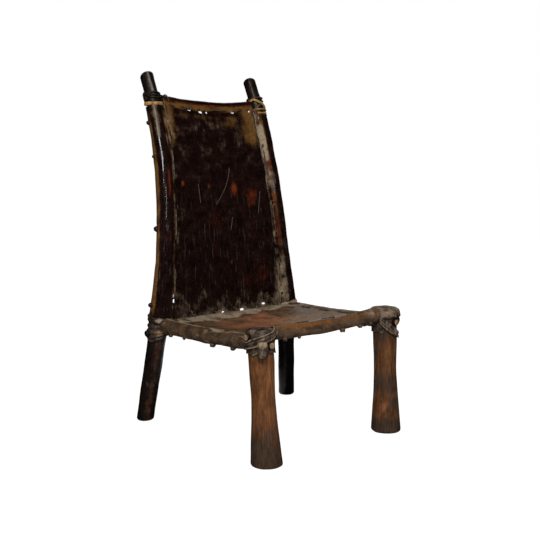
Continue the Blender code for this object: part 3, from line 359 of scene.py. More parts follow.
def front_axis(side, z):
    foot = Vector((side * FRONT_FLOOR_SPREAD / 2, FRONT_FLOOR_Y - side * FRONT_FLOOR_SKEW, 0))
    head = Vector((side * FRONT_SEAT_SPREAD / 2 + FRONT_SEAT_SHIFT, FRONT_SEAT_Y - side * FRONT_SEAT_SKEW, FRONT_LEG_HEIGHT))
    return foot.lerp(head, z / FRONT_LEG_HEIGHT)


def head_radius(side):
    return FRONT_HEAD_RADIUS + side * FRONT_GIRTH_DIFFERENCE / 2


def front_radius(side, z):
    below = max(0.0, (FRONT_WAIST_Z - z) / FRONT_WAIST_Z)
    flare = (FRONT_FOOT_RADIUS - FRONT_WAIST_RADIUS) * below ** FOOT_FLARE_POWER
    swell = (FRONT_HEAD_RADIUS - FRONT_WAIST_RADIUS) * ease(z, FRONT_WAIST_Z, CAP_SKIRT_Z)
    return FRONT_WAIST_RADIUS + flare + swell + side * FRONT_GIRTH_DIFFERENCE / 2


def post_center(side, z):
    bend = Vector((side * REAR_BEND_SPREAD / 2 + REAR_BEND_SHIFT, REAR_BEND_Y, z))
    if z <= REAR_BEND_Z:
        foot = Vector((side * REAR_FLOOR_SPREAD / 2, REAR_FLOOR_Y - side * REAR_FLOOR_SKEW, z))
        return foot.lerp(bend, z / REAR_BEND_Z)
    share = (z - REAR_BEND_Z) / (REAR_TOP_Z - REAR_BEND_Z)
    drawn_in = (REAR_BEND_SPREAD - REAR_TOP_SPREAD) / 2 * (1 - (1 - share) ** 2)
    return bend + Vector((-side * drawn_in - REAR_BEND_SHIFT * share, (REAR_TOP_Y - REAR_BEND_Y) * share ** RAKE_POWER, 0))


def post_radius(z):
    if z <= REAR_BEND_Z:
        return POST_FOOT_RADIUS + (POST_BEND_RADIUS - POST_FOOT_RADIUS) * max(0.0, z) / REAR_BEND_Z
    share = (z - REAR_BEND_Z) / (REAR_TOP_Z - REAR_BEND_Z)
    if share < POST_SLIM_SHARE:
        return POST_BEND_RADIUS + (POST_UPPER_RADIUS - POST_BEND_RADIUS) * share / POST_SLIM_SHARE
    rest = (share - POST_SLIM_SHARE) / (1 - POST_SLIM_SHARE)
    return POST_UPPER_RADIUS + (POST_TOP_RADIUS - POST_UPPER_RADIUS) * rest


def post_frame(side, z):
    """Centre of the post, the way in along the back and the way out of its front face."""
    run = (post_center(side, z + 0.01) - post_center(side, z - 0.01)).normalized()
    inward = Vector((-side, 0, 0))
    inward = (inward - run * inward.dot(run)).normalized()
    return post_center(side, z), inward, (run.cross(inward) * side).normalized()


Rail = collections.namedtuple("Rail", "start end hold_start hold_end body tenon proud sag")


def rail_center(rail, along):
    length = (rail.end - rail.start).length
    free = length - rail.hold_start - rail.hold_end
    share = min(1.0, max(0.0, (along * length - rail.hold_start) / free))
    return rail.start.lerp(rail.end, along) - UP * rail.sag * 4 * share * (1 - share)


def side_rail(side):
    start, end = front_axis(side, SIDE_RAIL_FRONT_Z), post_center(side, SIDE_RAIL_REAR_Z)
    return Rail(start, end, head_radius(side), post_radius(SIDE_RAIL_REAR_Z), RAIL_RADIUS, TENON_RADIUS, TENON_PROUD, SIDE_RAIL_SAG)


def front_rail():
    start, end = front_axis(LEFT, FRONT_RAIL_Z), front_axis(RIGHT, FRONT_RAIL_Z)
    return Rail(start, end, head_radius(LEFT), head_radius(RIGHT), FRONT_RAIL_RADIUS, TENON_RADIUS, TENON_PROUD, FRONT_RAIL_SAG)


def post_rail(z, drop, body, tenon, proud, sag):
    hold = post_radius(z)
    return Rail(post_center(LEFT, z), post_center(RIGHT, z - drop), hold, hold, body, tenon, proud, sag)


REAR_RAIL = post_rail(REAR_RAIL_Z, 0.0, RAIL_RADIUS, TENON_RADIUS, TENON_PROUD, 0.0)
TOP_RAIL = post_rail(TOP_RAIL_Z, TOP_RAIL_DROP, TOP_RAIL_RADIUS, TOP_TENON_RADIUS, TOP_TENON_PROUD, TOP_RAIL_SAG)
JOINT_Z = {LEFT: TOP_RAIL_Z, RIGHT: TOP_RAIL_Z - TOP_RAIL_DROP}
SIDE_RAILS = {side: side_rail(side) for side in SIDE_NAMES}
FRONT_RAIL = front_rail()


def sleeve_radius(bar):
    """Radius of the middle of the hide round a bar, at the corners of the solid's facets."""
    return (bar + 0.002) / math.cos((math.pi - SLEEVE_OPENING) / 8)


def back_neck(side, z):
    center, inward, front = post_frame(side, z)
    ahead = inward * math.cos(BACK_NECK_ANGLE) + front * math.sin(BACK_NECK_ANGLE)
    return center + ahead * (sleeve_radius(post_radius(z)) + NECK), inward, front


def back_level(side, up):
    """Height of a row of the back at one post."""
    return BACK_BOTTOM + (BACK_TOP - BACK_BOTTOM - (TOP_RAIL_DROP if side == RIGHT else 0.0)) * up


def back_panel(across, up):
    """Middle of the back panel, by shares across and up."""
    left, _, front = back_neck(LEFT, back_level(LEFT, up))
    point = left.lerp(back_neck(RIGHT, back_level(RIGHT, up))[0], across) - front * LAYER / 2
    swell = math.sin(math.pi * across)
    return point - front * BACK_HOLLOW * swell * math.sin(math.pi * up) - UP * BACK_DIP * swell * (1 - up) ** 4


def top_neck(share):
    """Where the back's layers meet under the top rail: centre of the rail, neck, way down and way to the front."""
    edge = [back_neck(side, BACK_TOP)[0].x for side in (LEFT, RIGHT)]
    x = edge[0] + (edge[1] - edge[0]) * share
    center = rail_center(TOP_RAIL, (x - TOP_RAIL.start.x) / (TOP_RAIL.end.x - TOP_RAIL.start.x))
    front = post_frame(LEFT, BACK_TOP)[2]
    down = Vector((1, 0, 0)).cross(front)
    down = down if down.z < 0 else -down
    ahead = down * math.cos(TOP_NECK_ANGLE) + front * math.sin(TOP_NECK_ANGLE)
    return center, center + ahead * (sleeve_radius(TOP_RAIL_RADIUS) + NECK), down, front


def level_inward(rail):
    way = (rail.end - rail.start).normalized()
    square = Vector((way.y, -way.x, 0)).normalized()
    return square if square.dot(rail.start) < 0 else -square


def neck_reach(rail):
    """How far the seat's neck lies from a rail's axis, level and up."""
    reach = sleeve_radius(rail.body) + NECK
    return reach * math.cos(SEAT_NECK_ANGLE), reach * math.sin(SEAT_NECK_ANGLE)


SEAT_REAR = back_panel(0.5, 0.0) + Vector((0, -0.0059, 0.004))


def share_on(rail, point):
    """How far along a rail a point of the plan lies, from 0 to 1."""
    way = rail.end - rail.start
    flat = Vector((way.x, way.y, 0))
    return (point - rail.start).dot(flat) / flat.dot(flat)


def seat_corner(side, rear):
    """Where the neck lines along two edges of the seat cross in plan."""
    rail = SIDE_RAILS[side]
    offset = level_inward(rail) * neck_reach(rail)[0]
    start, end = rail.start + offset, rail.end + offset
    level = SEAT_REAR.y
    if not rear:
        along = (start.x - FRONT_RAIL.start.x) / (FRONT_RAIL.end.x - FRONT_RAIL.start.x)
        level = (FRONT_RAIL.start.lerp(FRONT_RAIL.end, along) + level_inward(FRONT_RAIL) * neck_reach(FRONT_RAIL)[0]).y
    return start.lerp(end, (level - start.y) / (end.y - start.y))


SEAT_CORNERS = {(side, rear): seat_corner(side, rear) for side in SIDE_NAMES for rear in (False, True)}


def seat_plan(across, back):
    near = SEAT_CORNERS[LEFT, False].lerp(SEAT_CORNERS[RIGHT, False], across)
    far = SEAT_CORNERS[LEFT, True].lerp(SEAT_CORNERS[RIGHT, True], across)
    return near.lerp(far, back)


SEAT_WIDTH = (seat_plan(1, 0.5) - seat_plan(0, 0.5)).length
SEAT_DEPTH = (seat_plan(0.5, 1) - seat_plan(0.5, 0)).length


def seat_panel(across, back):
    """Middle of the seat's upper layer: it meets each edge at its height and is dished between them."""
    point = seat_plan(across, back)
    width = (seat_plan(1, back) - seat_plan(0, back)).length
    reach = [across * width, (1 - across) * width, back * SEAT_DEPTH, (1 - back) * SEAT_DEPTH]
    weights = [1 / max(TINY, distance) ** 2 for distance in reach]
    rails = (SIDE_RAILS[LEFT], SIDE_RAILS[RIGHT], FRONT_RAIL)
    heights = [rail_center(rail, share_on(rail, point)).z + neck_reach(rail)[1] for rail in rails] + [SEAT_REAR.z]
    point.z = sum(w * z for w, z in zip(weights, heights)) / sum(weights)
    edge = 0.0124
    dish = SEAT_DISH
    for near, far, length in ((reach[0], reach[1], width), (reach[2], reach[3], SEAT_DEPTH)):
        dish *= math.sin(math.pi * max(0.0, min(near, far) - edge) / (length - 2 * edge))
    return point + UP * (LAYER / 2 - dish)


def over_head(side, turn, rise, off):
    """A place off the skin of a front leg's head: up its side, over its edge and in along its top."""
    bend = 0.009 + off
    edge = FRONT_LEG_HEIGHT + off - bend
    out = Vector((math.cos(math.radians(turn)), math.sin(math.radians(turn)), 0))
    lean = min(max(0.0, rise - edge) / bend, math.pi / 2)
    inward = bend * (1 - math.cos(lean)) + max(0.0, rise - edge - bend * math.pi / 2)
    place = front_axis(side, min(rise, edge)) + out * max(0.0004, head_radius(side) + off - inward)
    return place + UP * bend * math.sin(lean)


# Meshes


def make_object(name, data):
    made = bpy.data.objects.new(name, data)
    bpy.context.scene.collection.objects.link(made)
    return made


def settle(item, name):
    """Swaps an object that has modifiers for one with the plain mesh that they give."""
    bpy.context.view_layer.update()
    data = bpy.data.meshes.new_from_object(item.evaluated_get(bpy.context.evaluated_depsgraph_get()))
    bpy.data.objects.remove(item, do_unlink=True)
    data.name = name
    data.shade_smooth()
    return make_object(name, data)


def hand_over(piece, slot, *nodes):
    """Hides the solids that a finished piece stands for and hangs it from the root."""
    if not piece.data.polygons:
        raise RuntimeError(piece.name + " has no faces")
    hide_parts(*nodes)
    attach(piece, "root")
    return piece


def loft(name, rings, materials, stain=None):
    """A closed skin through rings of equally many points; the ends take the second material, if there is one."""
    work = bmesh.new()
    tint = work.verts.layers.float_color.new("stain")
    rows = [[work.verts.new(point) for point in ring] for ring in rings]
    for one, two in zip(rows, rows[1:]):
        for i, corner in enumerate(one):
            work.faces.new((one[i - 1], corner, two[i], two[i - 1]))
    for row in (rows[0], rows[-1]):
        middle = work.verts.new(sum((corner.co for corner in row), Vector()) / len(row))
        for i, corner in enumerate(row):
            work.faces.new((row[i - 1], corner, middle)).material_index = len(materials) - 1
    for vert in work.verts:
        vert[tint] = (*(stain(vert.co) if stain else (0, 0, 0)), 1.0)
    bmesh.ops.recalc_face_normals(work, faces=work.faces)
    data = bpy.data.meshes.new(name)
    work.to_mesh(data)
    work.free()
    data.shade_smooth()
    data.set_sharp_from_angle(angle=math.radians(50))
    for item in materials:
        data.materials.append(item)
    return make_object(name, data)


def ring(center, one, two, radius, count, lump):
    """Points round a centre; lump(point) says how far each stands off the circle."""
    points = []
    for index in range(count):
        angle = 2 * math.pi * index / count
        out = one * math.cos(angle) + two * math.sin(angle)
        points.append(center + out * (radius + lump(center + out * radius)))
    return points


def new_sheet():
    work = bmesh.new()
    return work, work.verts.layers.float_vector.new("cut"), work.verts.layers.float_color.new("stain")


def add_row(sheet, row):
    """Adds a row of (place, flat place, stain) to a sheet."""
    work, cut, stain = sheet
    verts = []
    for place, flat, tint in row:
        made = work.verts.new(place)
        made[cut] = flat
        made[stain] = (*tint, 1.0)
        verts.append(made)
    return verts


def skin(sheet, rows):
    for one, two in zip(rows, rows[1:]):
        for a, b, c, d in zip(one, one[1:], two[1:], two):
            sheet[0].faces.new((a, b, c, d))


def punch(sheet, verts, place, along, lift, size):
    """Pulls one slit open at the vertex nearest to a place, with a raised, dusty lip."""
    work, _, stain = sheet
    length, width, lip = size
    inside = [vert for vert in verts if vert.is_valid and len(vert.link_faces) == 4]
    middle = min(inside, key=lambda vert: (vert.co - place).length_squared)
    center = middle.co.copy()
    side = lift.cross(along).normalized()
    for vert in verts:
        if vert.is_valid and (vert.co - center).length < 0.014:
            near = bell((vert.co - center).length, 0.0, 0.007)
            vert.co += lift * lip * near
            vert[stain][0] = min(1.0, vert[stain][0] + 0.45 * near)
    center += lift * lip
    rim = {vert for face in middle.link_faces for vert in face.verts} - {middle}
    for vert in rim:
        gap = vert.co - center
        angle = math.atan2(gap.dot(side), gap.dot(along))
        flat = along * math.cos(angle) * length / 2 + side * math.sin(angle) * width / 2
        vert.co = center + flat + lift * gap.dot(lift)
    bmesh.ops.delete(work, geom=[middle], context="VERTS")


def finish_sheet(name, sheet, thickness, material):
    work = sheet[0]
    bmesh.ops.recalc_face_normals(work, faces=work.faces)
    data = bpy.data.meshes.new(name)
    work.to_mesh(data)
    work.free()
    data.materials.append(material)
    item = make_object(name + "_skin", data)
    wall = item.modifiers.new("thickness", "SOLIDIFY")
    wall.thickness = thickness
    wall.offset = 0.0
    return settle(item, name)


def sleeve_line(neck, inner, center, radius, lap_side, flap, lift, ridge=None):
    """From the panel's edge round a bar and back on the panel's other face."""
    flap_neck = neck + lap_side * (LAYER + lift)
    ahead = ((neck + flap_neck) / 2 - center).normalized()
    across = (lap_side - ahead * lap_side.dot(ahead)).normalized()
    line = []
    for angle in span(SLEEVE_OPENING, 2 * math.pi - SLEEVE_OPENING, 41):
        out = ahead * math.cos(angle) - across * math.sin(angle)
        place = center + out * radius
        off = 0.0006 * wobble(place, 0.02, 3) + 0.0008 * wobble(place, 0.05, 4)
        off += ridge(math.degrees(angle), place.z) if ridge else 0.0
        line.append(place + out * max(off, -0.0012))
    lead = (inner - neck).normalized()
    line += [flap_neck + lead * flap * share + lap_side * lift * share for share in (0.0, 0.33, 0.67, 1.0)]
    return line


# Operators


class LOWCHAIR_OT_posts(bpy.types.Operator):
    """Build the two crooked rear posts, with their worn slanted tops"""

    bl_idname = "low_chair.posts"
    bl_label = "Rear Posts"

    def execute(self, context):
        tints = context.scene.low_chair_colours
        finish = wood_material("smoked_dark_hardwood", tints.dark_wood, shade(tints.dark_wood, 0.35), 0.22)
        for side, label in SIDE_NAMES.items():
            piece = loft("post_" + label, self.rings(side), [finish], lambda point: self.stain(side, point))
            hand_over(piece, "dark_polished_wood", "rear_post_" + label)
        return {"FINISHED"}

    def rings(self, side):
        edge = REAR_TOP_Z - POST_TOP_EDGE
        slope = Vector((0.7738, -0.6334, 0)) if side == LEFT else Vector((-0.5, -0.6, 0))
        shape = [(0.0, -0.003)] + [(z, 0.0) for z in span(0.004, edge, 190)]
        shape += [(edge + POST_TOP_EDGE * math.sin(lean), POST_TOP_RADIUS * (math.cos(lean) - 1)) for lean in span(0.2, 1.2, 7)]
        rings = []
        for z, extra in shape:
            center, inward, front = post_frame(side, z)
            upright = ease(z, 0.0, 0.08)
            inward = Vector((-side, 0, 0)).lerp(inward, upright)
            front = Vector((0, -1, 0)).lerp(front, upright)
            free = max(ease(z, 0.268, 0.20), ease(z, 0.775, 0.80)) * 0.8 + 0.2
            rings.append(ring(center, inward, front, post_radius(z) + extra, 40, lambda point: self.lump(point, free, side)))
            cut = ease(z, edge - 0.03, edge)
            for point in rings[-1]:
                point.z += 0.06 * cut * (point - center).dot(slope)
        return rings

    def stain(self, side, point):
        """Dust on the struck top and the foot, and a red worn edge on the right one; the left post's lower part is
        lighter on its right side, a painted highlight, and the right post is darker below the seat, a painted shade.
        """
        turn = seen_turn(point, post_center(side, point.z))
        if side == LEFT:
            scuff = 1.1 * bell(turn + 90 * (point.z - 0.84), 22, 12) * ease(point.z, 0.80, 0.83)
            # The worn share low on the right side of this post is a painted highlight
            return 0.25, 0.8 * bell(turn, 20, 35) * ease(point.z, 0.25, 0.2), max(scuff, 0.3 * bell(turn, 0, 50) * ease(point.z, 0.2, 0.1))
        # The grime low on this post is painted shade
        return 0.5 * ease(point.z, 0.3, 0.25), 1.2 * bell(turn, 4, 7) * ease(point.z, 0.79, 0.81), 0.25 * bell(turn, -60, 20) * ease(point.z, 0.79, 0.81)

    def lump(self, point, free, side):
        return free * (0.0011 * wobble(point, 0.045, side) + 0.0005 * wobble((point.x, point.y, point.z * 0.3), 0.009, side + 4))


class LOWCHAIR_OT_legs(bpy.types.Operator):
    """Build the two waisted front legs, cut with a blade"""

    bl_idname = "low_chair.legs"
    bl_label = "Front Legs"

    def execute(self, context):
        tints = context.scene.low_chair_colours
        shares = {LEFT: 0.92, RIGHT: 0.66}
        for side, label in SIDE_NAMES.items():
            finish = wood_material("oiled_brown_hardwood_" + label, shade(tints.brown_wood, shares[side]), tints.grime_and_shade, 0.36)
            piece = loft("leg_" + label, self.rings(side), [finish], lambda point: self.stain(side, point))
            hand_over(piece, "warm_brown_wood", "front_leg_" + label)
        return {"FINISHED"}

    def stain(self, side, point):
        turn, z = seen_turn(point, front_axis(side, point.z)), point.z
        if side == LEFT:
            # Of this grime, the darker left flank above the foot and the band just under the cap are painted shade
            grime_and_shade = max(0.95 * ease(z, 0.14, 0.03), 0.75 * bell(turn, 35, 30) * bell(z, 0.045, 0.03), 0.5 * ease(turn, -40, -80) * ease(z, 0.13, 0.22))
            grime_and_shade = max(grime_and_shade, 0.55 * bell(turn, -45, 18) * bell(z, 0.085, 0.025), 0.8 * ease(z, 0.235, 0.262))
            # The worn place facing forward at mid-height is a painted highlight
            return grime_and_shade, 0.42 * bell(turn, 5, 40) * bell(z, 0.16, 0.07), 0.25 * ease(z, 0.02, 0.004)
        # Of this grime, the darker left flank and the top just under the cap are painted shade
        grime_and_shade = max(0.75 * bell(z, 0.118, 0.03), 0.9 * ease(z, 0.05, 0.025), 0.8 * ease(turn, -5, 25) * bell(z, 0.065, 0.03), 0.7 * ease(turn, -15, -60) * ease(z, 0.12, 0.2), 0.95 * ease(z, 0.19, 0.25))
        # The first worn place, right of the front, is a painted highlight; the second is an ochre patch
        wear_and_highlight = max(0.5 * bell(turn, 30, 26) * bell(z, 0.185, 0.035), 0.9 * bell(turn, -25, 26) * bell(z, 0.066, 0.022))
        return grime_and_shade, wear_and_highlight, 0.25 * ease(z, 0.02, 0.004)

    def rings(self, side):
        shape = [(0.0, -0.003), (0.001, -0.0015), (0.003, -0.0003)] + [(z, 0.0) for z in span(0.006, FRONT_LEG_HEIGHT - HEAD_EDGE, 80)]
        shape += [(FRONT_LEG_HEIGHT - 0.002, -0.002), (FRONT_LEG_HEIGHT, -HEAD_EDGE)]
        rings = []
        for z, extra in shape:
            free = ease(z, 0.25, 0.225)
            rings.append(ring(front_axis(side, z), Vector((1, 0, 0)), Vector((0, 1, 0)), front_radius(side, z) + extra, 48, lambda point: free * self.lump(point, side)))
        return rings

    def lump(self, point, side):
        """Long shallow cuts of the blade, and the stick's own unevenness."""
        drawn = Vector((point.x, point.y, point.z * 0.22))
        return 0.0011 * wobble(drawn, 0.016, side + 8) + 0.0010 * wobble(point, 0.05, side + 9)


class LOWCHAIR_OT_rails(bpy.types.Operator):
    """Build the five rails with their through tenons"""

    bl_idname = "low_chair.rails"
    bl_label = "Rails"

    def execute(self, context):
        tints = context.scene.low_chair_colours
        finish = wood_material("greasy_dark_hardwood", tints.dark_wood, shade(tints.dark_wood, 0.35), 0.4)
        sawn = wood_material("cut_end_grain", tints.end_grain, tints.grime_and_shade, 0.5)
        rails = {"seat_rail_front": FRONT_RAIL, "seat_rail_rear": REAR_RAIL, "back_top_rail": TOP_RAIL}
        rails.update({"seat_rail_" + label: SIDE_RAILS[side] for side, label in SIDE_NAMES.items()})
        for name, rail in rails.items():
            ends = finish if rail in (REAR_RAIL, TOP_RAIL) else sawn
            piece = loft(name.replace("_rail", "_bar"), self.rings(rail), [finish, ends])
            hand_over(piece, "dark_polished_wood", name)
        return {"FINISHED"}

    def rings(self, rail):
        length = (rail.end - rail.start).length
        way = (rail.end - rail.start) / length
        one = way.cross(UP).normalized()
        two = one.cross(way)
        first, last = -rail.hold_start - rail.proud, length + rail.hold_end + rail.proud
        near, far = rail.hold_start + 0.0006, length - rail.hold_end - 0.0006
        shape = [(first, -0.0015), (first + 0.0015, 0.0)]
        shape += [(at, 0.0) for at in span(first + 0.004, near, 8)]
        shape += [(at, rail.body - rail.tenon) for at in span(near + 0.001, far - 0.001, 60)]
        shape += [(at, 0.0) for at in span(far, last - 0.004, 8)]
        shape += [(last - 0.0015, 0.0), (last, -0.0015)]
        rings = []
        for at, extra in shape:
            center = rail.start + way * at if at < 0 or at > length else rail_center(rail, at / length)
            rings.append(ring(center, one, two, rail.tenon + extra, 28, lambda point: 0.0004 * wobble(point, 0.012, 2)))
        return rings


class LOWCHAIR_OT_back(bpy.types.Operator):
    """Build the back hide, folded round both posts and the top rail"""

    bl_idname = "low_chair.back"
    bl_label = "Back Hide"

    rows = 151
    columns = 109

    def execute(self, context):
        sizes, tints = context.scene.low_chair_sizes, context.scene.low_chair_colours
        finish = rawhide_material("smoked_rawhide", tints.back_hide, (tints.soot_dust, tints.ochre, tints.rust), 0.12, 0.34, 0.18, 0.03, SCRATCHES)
        sheet = new_sheet()
        grid = [add_row(sheet, self.section(up, sizes)) for up in span(0.0, 1.0, self.rows)]
        skin(sheet, grid)
        start = len(self.line_round(LEFT, 0.0, sizes))
        inner = [i for i, across in enumerate(span(0.0, 1.0, self.columns)) if 0.015 < across < 0.985]
        top = [self.top_strip(grid[-1][start + i], i / (self.columns - 1), sizes) for i in inner]
        strips = [[grid[-1][start + i]] + add_row(sheet, strip) for i, strip in zip(inner, top)]
        skin(sheet, strips)
        self.open_slits(sheet, grid, strips, start, sizes)
        piece = finish_sheet("hide_back", sheet, sizes.hide, finish)
        hand_over(piece, "dark_rawhide", "back_hide")
        return {"FINISHED"}

    def line_round(self, side, up, sizes):
        """The sleeve of one row, from the panel's edge outwards."""
        z = back_level(side, up)
        center, _, front = post_frame(side, z)
        edge, inner = (0.0, 0.05) if side == LEFT else (1.0, 0.95)
        wide = sizes.flap * (0.48 if side == LEFT else 1.0) * (1 + 0.25 * wobble((side, 0, z), 0.03, 5))
        lift = 0.0009 + 0.0009 * wobble((side, 0, z), 0.025, 6)
        radius = (post_radius(z) + 0.002) * 1.02
        return sleeve_line(back_panel(edge, up), back_panel(inner, up), center, radius, front, wide, lift, self.ridge)

    def ridge(self, angle, z):
        """Long folds of the shrunk hide, that wander a little up the post."""
        drift = 9 * wobble((0, 0, z), 0.11, 14)
        flat = bell(z, 0.664, 0.026)
        folds = 0.0016 * bell(angle, 195 + drift, 28) - 0.0010 * bell(angle, 286 + drift, 12)
        sharp = 0.0015 * (bell(angle, 260 + drift, 11) - bell(angle, 240 + drift, 9))
        return folds + sharp * (1 - 0.9 * flat) - 0.0012 * flat * bell(angle, 254, 15)

    def section(self, up, sizes):
        """One row of the sheet: flap, sleeve, panel, sleeve, flap, each point with its flat place and stain."""
        left = self.line_round(LEFT, up, sizes)
        right = self.line_round(RIGHT, up, sizes)
        panel = [self.panel(across, up, sizes) for across in span(0.0, 1.0, self.columns)]
        line = eased_line(left[::-1] + panel + right, 3)
        count = len(left)
        half = (panel[-1] - panel[0]).length / 2
        high = up * (BACK_TOP - BACK_BOTTOM)
        row = []
        for index, place in enumerate(line):
            if index < count:
                around = 1 - index / (count - 1)
                flat = -half - around * 0.15
                stain = self.left_stain(around, high)
            elif index < count + self.columns:
                flat = half * (2 * (index - count) / (self.columns - 1) - 1)
                stain = self.panel_stain(flat, high, half)
            else:
                around = (index - count - self.columns) / (count - 1)
                flat = half + around * 0.15
                stain = self.right_stain(around, high)
            row.append((place, (flat, high, 0.0), stain))
        return row

    def panel(self, across, up, sizes):
        point = back_panel(across, up)
        inset = min(across, 1 - across)
        if up > 0.9:
            raised = ease(inset, 0.0, 0.03)
            neck, front = top_neck(across)[1], top_neck(across)[3]
            low = back_panel(across, 0.9)
            point = point.lerp(low.lerp(neck + front * LAYER / 2, (up - 0.9) / 0.1), raised)
        front = post_frame(LEFT, point.z)[2]
        free = ease(inset, 0.03, 0.12) * ease(up, 0.99, 0.9)
        wave = sizes.slack * free * (wobble(point, 0.09, 1) + 0.5 * wobble((point.x * 2, point.y, point.z * 0.6), 0.05, 2))
        pucker = sizes.slack * 0.9 * bell(up, 0.0, 0.09) * ease(inset, 0.02, 0.08) * math.cos(2 * math.pi * (point.x - LACE_SHIFT) / LACE_PITCH)
        hem = ease(up, 0.05, 0.0) * ease(inset, 0.0, 0.008) * (0.2595 - 0.005 * ease(inset, 0.07, 0.03) + 0.001 * wobble(point, 0.03, 7) - back_panel(across, 0.0).z)
        return point + front * (wave + pucker) + UP * hem

    def panel_stain(self, flat, high, half):
        inset = half - abs(flat)
        rough = 1 + 0.45 * wobble((flat, high, 0), 0.016, 80) + 0.35 * wobble((flat, high, 0), 0.006, 85)
        wave = abs(math.cos(math.pi * (flat - LACE_SHIFT) / LACE_PITCH)) ** 1.6
        tall = (0.014 + wave * (0.036 - 0.06 * flat + 0.02 * wobble((flat, 0, 0), 0.07, 86))) * rough
        dust = 0.26 * ease(high, tall + 0.014, tall - 0.012) + 0.12 * bell(high, tall - 0.003, 0.005)
        dust = max(dust, 0.42 * ease(high, 0.020, 0.002)) * (0.75 + 0.25 * ease(flat, -0.1, 0.05))
        dust = max(dust, 0.46 * ease(inset, 0.034 * rough, 0.010) * bell(high, 0.452, 0.035) * (flat < 0))
        dust = max(dust, 0.55 * ease(inset, (0.040 - 0.14 * high) * rough, 0.004) * ease(high, 0.24, 0.08) * (flat > 0))
        dust = max(dust, 0.3 * ease(inset, 0.012 * rough, 0.002) * ease(high, 0.47, 0.30) * (flat > 0))
        dust = max(dust, 0.13 * ease(high, 0.33, 0.46) * ease(high, 0.505, 0.48))
        dust = max(dust, 0.25 * ease(inset, 0.03, 0.005) * (flat < 0) * ease(high, 0.42, 0.30))
        ochre = 0.85 * bell(flat, 0.118, 0.030) * ease(high, 0.40, 0.45)
        ochre = max(ochre, 0.42 * bell(flat, 0.045, 0.045) * bell(high, 0.472, 0.016))
        ochre = max(ochre, 0.8 * ease(inset, 0.040 * rough, 0.012) * ease(high, 0.37, 0.45) * (flat < 0))
        ochre = max(ochre, 0.32 * ease(high, 0.478, 0.486) * ease(high, 0.497, 0.492))
        # The uppermost rows lie on the front of the top rail, where the ochre band is amber hide and a painted
        # highlight
        band = ease(high, 0.5035, 0.5070)
        dust, ochre = dust * (1 - band), max(ochre, (0.75 + 0.6 * wobble((flat, 0, 0), 0.04, 95)) * band)
        spots = [(0.040, 0.312, 0.010, 0.018, 1.0), (-0.122, 0.323, 0.005, 0.009, 0.9), (-0.040, 0.317, 0.004, 0.009, 0.7), (0.014, 0.123, 0.005, 0.007, 0.8)]
        rust = max(strong * bell(flat, x, wide) * bell(high, y, long) for x, y, wide, long, strong in spots)
        ochre = max(ochre, 0.4 * rust)
        haze = [(0.092, 0.292, 0.022, 0.030, 0.62), (-0.03, 0.245, 0.045, 0.035, 0.26), (0.10, 0.085, 0.05, 0.05, 0.34), (0.02, 0.18, 0.10, 0.06, 0.18)]
        return dust, ochre, max(rust, max(strong * bell(flat, x, wide) * bell(high, y, long) for x, y, wide, long, strong in haze))

    def left_stain(self, around, high):
        shift = 9 * wobble((0, 0, high + BACK_BOTTOM), 0.11, 14) / 330
        amber = (0.85 + 0.9 * wobble((0, high, 0), 0.025, 83)) * ease(around, 0.36, 0.42) * ease(around, 0.625 + shift, 0.575 + shift) * ease(high, 0.515, 0.47)
        amber = amber * ease(around, 0.45, 0.52) * ease(around, 0.60, 0.57) if high > 0.42 else amber
        pale = bell(around, 0.937, 0.014) * (0.7 + 0.6 * wobble((0, high, 0), 0.02, 96))
        tan = ease(around, 0.85, 0.90) * ease(high, 0.385, 0.44) * (0.8 + 0.8 * wobble((around, high, 0), 0.02, 98))
        # Besides tan dust, the grey on the upper ridge is a painted sheen
        dust_and_sheen = max(0.4 * tan, 0.5 * ease(high, 0.40, 0.45) * bell(around, 0.71, 0.06), 0.45 * pale)
        rust = 0.75 * bell(around, 0.84, 0.04) * (bell(high, 0.33, 0.05) + 0.7 * bell(high, 0.19, 0.02))
        return dust_and_sheen, max(amber, 0.5 * pale, 0.7 * tan), rust

    def right_stain(self, around, high):
        orange = ease(around, 0.87, 0.895) * ease(around, 0.955, 0.93)
        rust = 0.6 * orange * ease(high, 0.10, 0.18) * ease(high, 0.45, 0.40)
        amber = 0.35 * orange * (1 + 0.8 * wobble((around, high, 0), 0.03, 84)) + 0.4 * ease(around, 0.86, 0.9) * ease(high, 0.39, 0.42)
        cream = 1.45 * ease(around, 0.895, 0.915) * ease(around, 0.99, 0.965) * ease(high, 0.375, 0.395) * ease(high, 0.49, 0.46)
        # Of this dust, the band two thirds up along the flap is a painted sheen
        dust = max(cream, 0.6 * ease(around, 0.84, 0.90) * ease(high, 0.20, 0.08), 0.45 * bell(high, 0.335, 0.024) * ease(around, 0.84, 0.88))
        groove = ease(high, 0.26, 0.22) * max(bell(around, 0.921, 0.007), bell(around, 0.966, 0.007))
        return max(dust * (1 - groove) * (1 + 0.7 * wobble((around, high, 0), 0.014, 91)), 0.3 * ease(around, 0.95, 0.985)), amber, rust

    def top_strip(self, edge, across, sizes):
        center, neck, _, front = top_neck(across)
        radius = (TOP_RAIL_RADIUS + 0.002) * 1.04 + 0.0007 * wobble(center, 0.025, 3)
        wide = sizes.flap * (0.9 + 0.3 * wobble(center, 0.02, 8)) * (1 - 0.85 * max(bell(across, gap, 0.045) for gap in TOP_GAPS))
        line = sleeve_line(edge.co.copy(), back_panel(across, 0.93), center, radius, -front, wide, 0.0004)
        line = eased_line([edge.co.copy()] + line, 2)[1:]
        strip = []
        for index, place in enumerate(line):
            around = (index + 1) / len(line)
            # The amber low on the rail's front is amber hide and a painted highlight
            amber = 0.9 * ease(around, 0.055, 0.022) * (1 + 0.5 * wobble(center, 0.03, 87))
            strip.append((place, (center.x, 0.52 + 0.09 * around, 0.0), (0.0, amber, 0.7 * bell(around, 0.055, 0.03))))
        return strip

